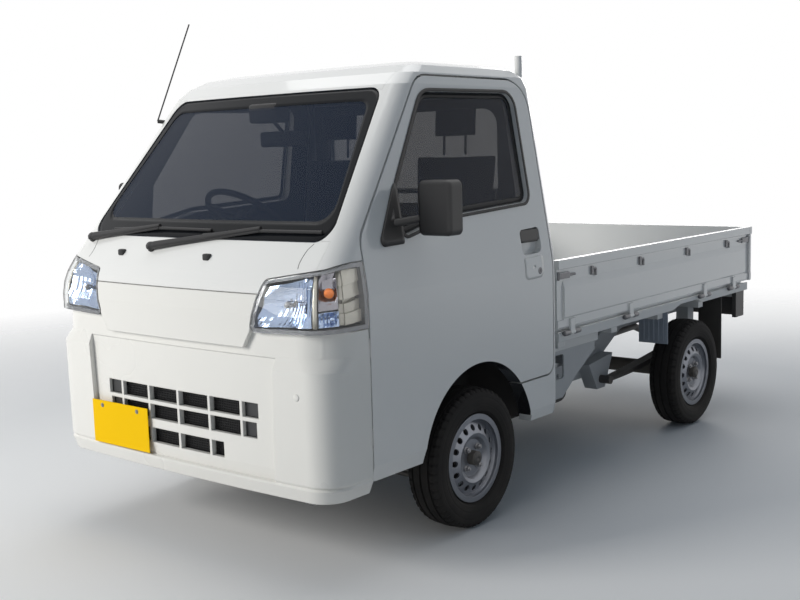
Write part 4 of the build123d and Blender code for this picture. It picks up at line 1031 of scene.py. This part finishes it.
def pad_mesh(name, middle, half, thick, line, channels, across=14, along=18):
    """A crowned pad along a bent middle line, its sides pulled in between the corners, with sewn channels."""
    work = bmesh.new()
    for face_side in (1, -0.8):
        layer = []
        for i in range(along + 1):
            t = i / along * (len(line) - 1)
            n = min(int(t), len(line) - 2)
            start, end = Vector(line[n]), Vector(line[n + 1])
            run = (end - start).normalized()
            out = Vector((-run.y, run.x))
            v = 2 * i / along - 1
            row = []
            for j in range(across + 1):
                u = 2 * j / across - 1
                crown = (max(0.0, 1 - abs(u) ** 3.2) * max(0.0, 1 - abs(v) ** 3.6)) ** 0.42
                sewn = 1.0
                for c in range(channels):
                    spot = -0.6 + 1.2 * c / max(channels - 1, 1)
                    sewn -= 0.16 * math.exp(-((v - spot) / 0.035) ** 2)
                pull = 1 - 0.035 * (1 - u * u) if abs(v) == 1 else 1.0
                at = start.lerp(end, (t - n) * pull + (1 - pull) * 0.5)
                at += out * (thick / 2 * crown * sewn * face_side)
                x = middle + u * half * (1 - 0.03 * (1 - v * v))
                row.append(work.verts.new((x, nose_y + at.x, at.y)))
            layer.append(row)
        for i in range(along):
            for j in range(across):
                face = [layer[i][j], layer[i][j + 1], layer[i + 1][j + 1], layer[i + 1][j]]
                work.faces.new(face if face_side == 1 else face[::-1])
    bmesh.ops.remove_doubles(work, verts=work.verts, dist=0.0005)
    bmesh.ops.recalc_face_normals(work, faces=work.faces)
    return meshed(name, work)


def filled(source, swell):
    """The pad after air pressure under its cover, no point moved further than swell."""
    work = bpy.data.objects.new("filling", source)
    scene.collection.objects.link(work)
    before = [v.co.copy() for v in source.vertices]
    cloth = work.modifiers.new("cover", "CLOTH")
    cloth.settings.use_pressure = True
    cloth.settings.uniform_pressure_force = pad_pressure
    cloth.settings.effector_weights.gravity = 0.0
    cloth.settings.quality = 4
    for step in range(1, settle_steps + 1):
        scene.frame_set(step)
    done = bpy.data.meshes.new_from_object(work.evaluated_get(bpy.context.evaluated_depsgraph_get()))
    for v, start in zip(done.vertices, before):
        move = v.co - start
        if move.length > swell:
            v.co = start + move.normalized() * swell
    bpy.data.objects.remove(work)
    scene.frame_set(1)
    return done


first_pad = {}
for side, sign in SIDES:
    middle = sign * seat_middle
    for name, half, thick, line, channels in SEAT_PADS:
        mesh = pad_mesh(name, middle, half, thick, line, channels)
        mesh = filled(mesh, pad_swell)
        pad = piece(f"{name}_{side}", mesh, seat_cloth, "chassis")
        smooth = pad.modifiers.new("smooth", "SUBSURF")
        smooth.levels = smooth.render_levels = 1
        first_pad.setdefault(name, pad)
    feet = [(middle + x, nose_y + 1.262, 1.395) for x in (-0.055, 0.055)]
    posts = [spun("post", [(0.0, 0.006), (0.10, 0.006)], foot, (0.0, 0.06, 1.0), 12) for foot in feet]
    piece("head_rest_posts_" + side, joined("posts", *posts), nut_steel, "chassis")
    base = block("base", (middle - 0.20, nose_y + 0.845, 0.676), (middle + 0.20, nose_y + 1.20, 0.712), 0.008)
    shell = block("shell", (middle - 0.19, nose_y + 1.262, 0.700),
                  (middle + 0.19, nose_y + 1.285, 1.250), 0.009)
    piece("seat_frame_" + side, joined("seat frame", base, shell), fitting_black, "chassis")
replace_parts(first_pad["seat_cushion"], "seats")

# Load bed: a ribbed steel floor on cross sills, white drop sides and tailgate on pinned hinges, and a guard
# frame behind the cab. Rope hooks and latches are zinc-plated rod and plate, riveted under the top rails.
deck_white = finish("deck white", (0.66, 0.67, 0.67), 0.42, grain=200, depth=0.0002, shade=0.05, dust=0.25,
                    edge=0.004)
gate_white = finish("gate white", (0.80, 0.80, 0.785), 0.20, grain=900, depth=0.00002, shade=0.02, dust=0.10,
                    edge=0.003, worn=(0.48, 0.49, 0.51), coat=0.6)
wear(deck_white, "bed_floor")
wear(gate_white, "side_gate_left", "side_gate_right", "tailgate")
wear(body_white, "bed_headboard", "guard_frame")
bed_front, bed_back = nose_y + 1.424, nose_y + 3.340
deck_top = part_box("bed_headboard")[0].z + 0.022
ribs_low = (-0.660, bed_front + 0.03, deck_top - 0.001)
ribs_high = (0.660, bed_back - 0.02, deck_top + 0.004)
ribs = slatted(deck_white, ribs_low, ribs_high, 12, 0, 0.36)
piece("deck_ribs", ribs, None, "chassis", smooth=False)
bolt_pitch = 0.225
deck_bolts = [
    ((x, bed_front + 0.06 + bolt_pitch * k, deck_top), (0, 0, 1)) for x in (-0.682, 0.682) for k in range(9)
]
bolted("deck_bolts", deck_bolts, hook_steel, "chassis", "steel",
       Radius=0.0075, Height=0.005, Washer=0.0115, Tip=0.9)
lip_start = bed_front + 0.002
lips = []
for sign in (1, -1):
    lips.append(block("lip", (sign * 0.684, lip_start, deck_top - 0.001),
                      (sign * 0.6985, bed_back - 0.012, deck_top + 0.0125), 0.002, 1))
    lips.append(block("flange", (sign * 0.652, lip_start, 0.560),
                      (sign * 0.657, nose_y + 1.850, deck_top - 0.024), 0.001, 1))
piece("deck_lips", joined("deck lips", *lips), deck_white, "chassis", smooth=False)

set_out, given, result = growth("set out", [("Form", "Object", None)])
form = node(set_out, "GeometryNodeObjectInfo", {"Object": given["Form"], "As Instance": True})
placed = node(set_out, "GeometryNodeInstanceOnPoints", {
    "Points": given["Geometry"], "Instance": form.outputs["Geometry"]})
end_growth(set_out, given, result, placed.outputs["Instances"])
HOOK_ROD = [(-0.012, 0.008), (0.006, 0.008), (0.010, 0.0065), (0.012, 0.003), (0.012, -0.0225)]  # along, up
hook_out, hook_rod, handle_out = 0.024, 0.0053, 0.022
hook_mesh = joined(
    "rope hook",
    bent("rod", [(hook_out, along, up) for along, up in HOOK_ROD], hook_rod, (1, 0, 0)),
    block("plate", (0.0165, -0.0245, -0.0185), (0.0275, -0.0075, 0.0185), 0.002, 2),
)
latch_mesh = joined(
    "latch",
    block("case", (0.0165, 0.0135, -0.0125), (0.0285, 0.0885, 0.0145), 0.003, 2),
    bent("handle", [(handle_out, along, 0.0) for along in (0.086, 0.110, 0.137)], hook_rod, (1, 0, 0)),
    block("keeper", (0.0165, 0.0040, -0.0165), (0.0255, 0.0140, 0.0185), 0.002, 2),
)
SIDE_HOOKS = [nose_y + distance for distance in (1.700, 2.134, 2.618, 3.087)]
GATE_FIT = [  # gate, inner face, which way it faces, places of the hooks along it, its ends
    ("side_gate_left", 0.703, 0.0, SIDE_HOOKS, (-0.2935, 1.6625)),
    ("side_gate_right", 0.703, math.pi, [-along for along in SIDE_HOOKS], (-1.6625, 0.2935)),
    ("tailgate", 1.6645, math.pi / 2, [-0.480, 0.480], (-0.733, 0.733)),
]
hook_height = 0.890
for gate, inner, turn, hooks, ends in GATE_FIT:
    fit = (
        (hook_mesh, hooks, gate == "side_gate_right"),
        (latch_mesh, ends[:1], False),
        (latch_mesh, ends[1:], True),
    )
    meshes = []
    for shape, spots, flip in fit:
        kept = shape.copy()
        if flip:
            kept.transform(Matrix.Diagonal((1, -1, 1, 1)))
        holder = bpy.data.objects.new("form", kept)
        scene.collection.objects.link(holder)
        base = bpy.data.meshes.new("spots")
        base.from_pydata([(inner, along, hook_height) for along in spots], [], [])
        meshes.append(grown(set_out, hook_steel, base, Form=holder))
        bpy.data.objects.remove(holder)
    fitted = joined(gate + " fittings", *meshes)
    fitted.transform(Matrix.Rotation(turn, 4, "Z"))
    piece(gate + "_fittings", outward(fitted), hook_steel, gate, smooth=False)
hinge_line = (0.727, 0.650)  # across and up
HINGES = (1.511, 2.025, 2.807, 3.165)  # behind the nose
SLEEVE_ENDS = ((-0.060, -0.0195), (0.0195, 0.060))
sleeve_radius, sleeve_mouth, sleeve_chamfer, sleeve_tip = 0.0115, 0.0095, 0.002, 0.001
sleeves = []
for sign in (1, -1):
    for behind in HINGES:
        place = (sign * hinge_line[0], nose_y + behind, hinge_line[1])
        for start, end in SLEEVE_ENDS:
            profile = [
                (start, sleeve_tip), (start, sleeve_mouth), (start + sleeve_chamfer, sleeve_radius),
                (end - sleeve_chamfer, sleeve_radius), (end, sleeve_mouth), (end, sleeve_tip),
            ]
            sleeves.append(spun("sleeve", profile, place, (0, 1, 0), 16))
piece("hinge_sleeves", joined("hinge sleeves", *sleeves), hook_steel, "chassis")

# Mud guards: a ribbed grey splash shield ahead of each rear wheel, and a black rubber flap behind it on a rod.
# Both hang from the bed's sills.
flap_rubber = finish("flap rubber", (0.016, 0.016, 0.017), 0.7, grain=240, depth=0.0006, dust=0.30, edge=0.003)
shield_grey = finish("shield grey", (0.30, 0.34, 0.40), 0.45, grain=240, depth=0.0003, dust=0.25, edge=0.003)
low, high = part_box("mud_guards")
shield_y = low.y
flap_y = high.y
guard_inner, guard_outer, flap_inner, rod_side = 0.560, 0.714, 0.585, 0.700
shields, flaps, rods = [], [], []
for sign in (1, -1):
    start, end = sorted((sign * guard_inner, sign * guard_outer))
    shields.append(block("shield", (start, shield_y, 0.456), (end, shield_y + 0.006, high.z), 0.002, 2))
    shields.append(slatted(shield_grey, (start + 0.012, shield_y - 0.003, 0.470),
                           (end - 0.012, shield_y + 0.001, high.z - 0.012), 5, 0))
    flaps.append(block("flap", (sign * flap_inner, flap_y - 0.006, 0.285),
                       (sign * guard_outer, flap_y, high.z), 0.002, 2))
    rod = [(sign * rod_side, flap_y + 0.004, up) for up in (high.z - 0.002, 0.520, 0.440)]
    rods.append(bent("rod", rod, 0.004, (1, 0, 0)))
shields = joined("splash shields", *shields)
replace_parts(piece("splash_shields", shields, shield_grey, "chassis", smooth=False), "mud_guards")
piece("mud_flaps", joined("mud flaps", *flaps), flap_rubber, "chassis", smooth=False)
piece("flap_rods", joined("flap rods", *rods), hook_steel, "chassis")

# Tail lamps: one black moulding a side with a red stop lamp outside, an amber turn lamp and a reversing lamp.
# Each lens is ribbed and clipped to the moulding, which is screwed to the rear panel.
lens_base = finish("tail lamp base", (0.014, 0.014, 0.015), 0.4, grain=300, depth=0.0002, edge=0.003)
TAIL_LENSES = [  # name, start and end outwards from the moulding's inner end, colour
    ("reversing_lens", 0.006, 0.064, (0.70, 0.71, 0.71)),
    ("turn_lens", 0.068, 0.132, (0.80, 0.22, 0.008)),
    ("stop_lens", 0.136, 0.228, (0.42, 0.010, 0.008)),
]
low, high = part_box("tail_lamps")
base_width = 0.234
lens_margin, rib_margin = 0.007, 0.013
for name, start, end, colour in TAIL_LENSES:
    lens_paint = finish(name.replace("_", " "), colour, 0.10, grain=120, depth=0.0002, edge=0.004, coat=0.8)
    for side, sign in SIDES:
        inner = sign * (high.x - base_width)
        left, right = sorted((inner + sign * start, inner + sign * end))
        cover = block(name, (left, low.y + 0.006, low.z + lens_margin),
                      (right, high.y - 0.0012, high.z - lens_margin), 0.005)
        ribs = slatted(lens_paint, (left + 0.006, high.y - 0.002, low.z + rib_margin),
                       (right - 0.006, high.y - 0.0002, high.z - rib_margin), 14, 2, 0.5)
        piece(f"{name}_{side}", joined(name, cover, ribs), lens_paint, "chassis", smooth=False)
bases = []
for sign in (1, -1):
    inner, outer = sign * (high.x - base_width), sign * high.x
    bases.append(block("base", (inner, low.y, low.z), (outer, low.y + 0.014, high.z), 0.004, 2))
bases = joined("tail lamp bases", *bases)
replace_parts(piece("tail_lamp_bases", bases, lens_base, "chassis", smooth=False), "tail_lamps")
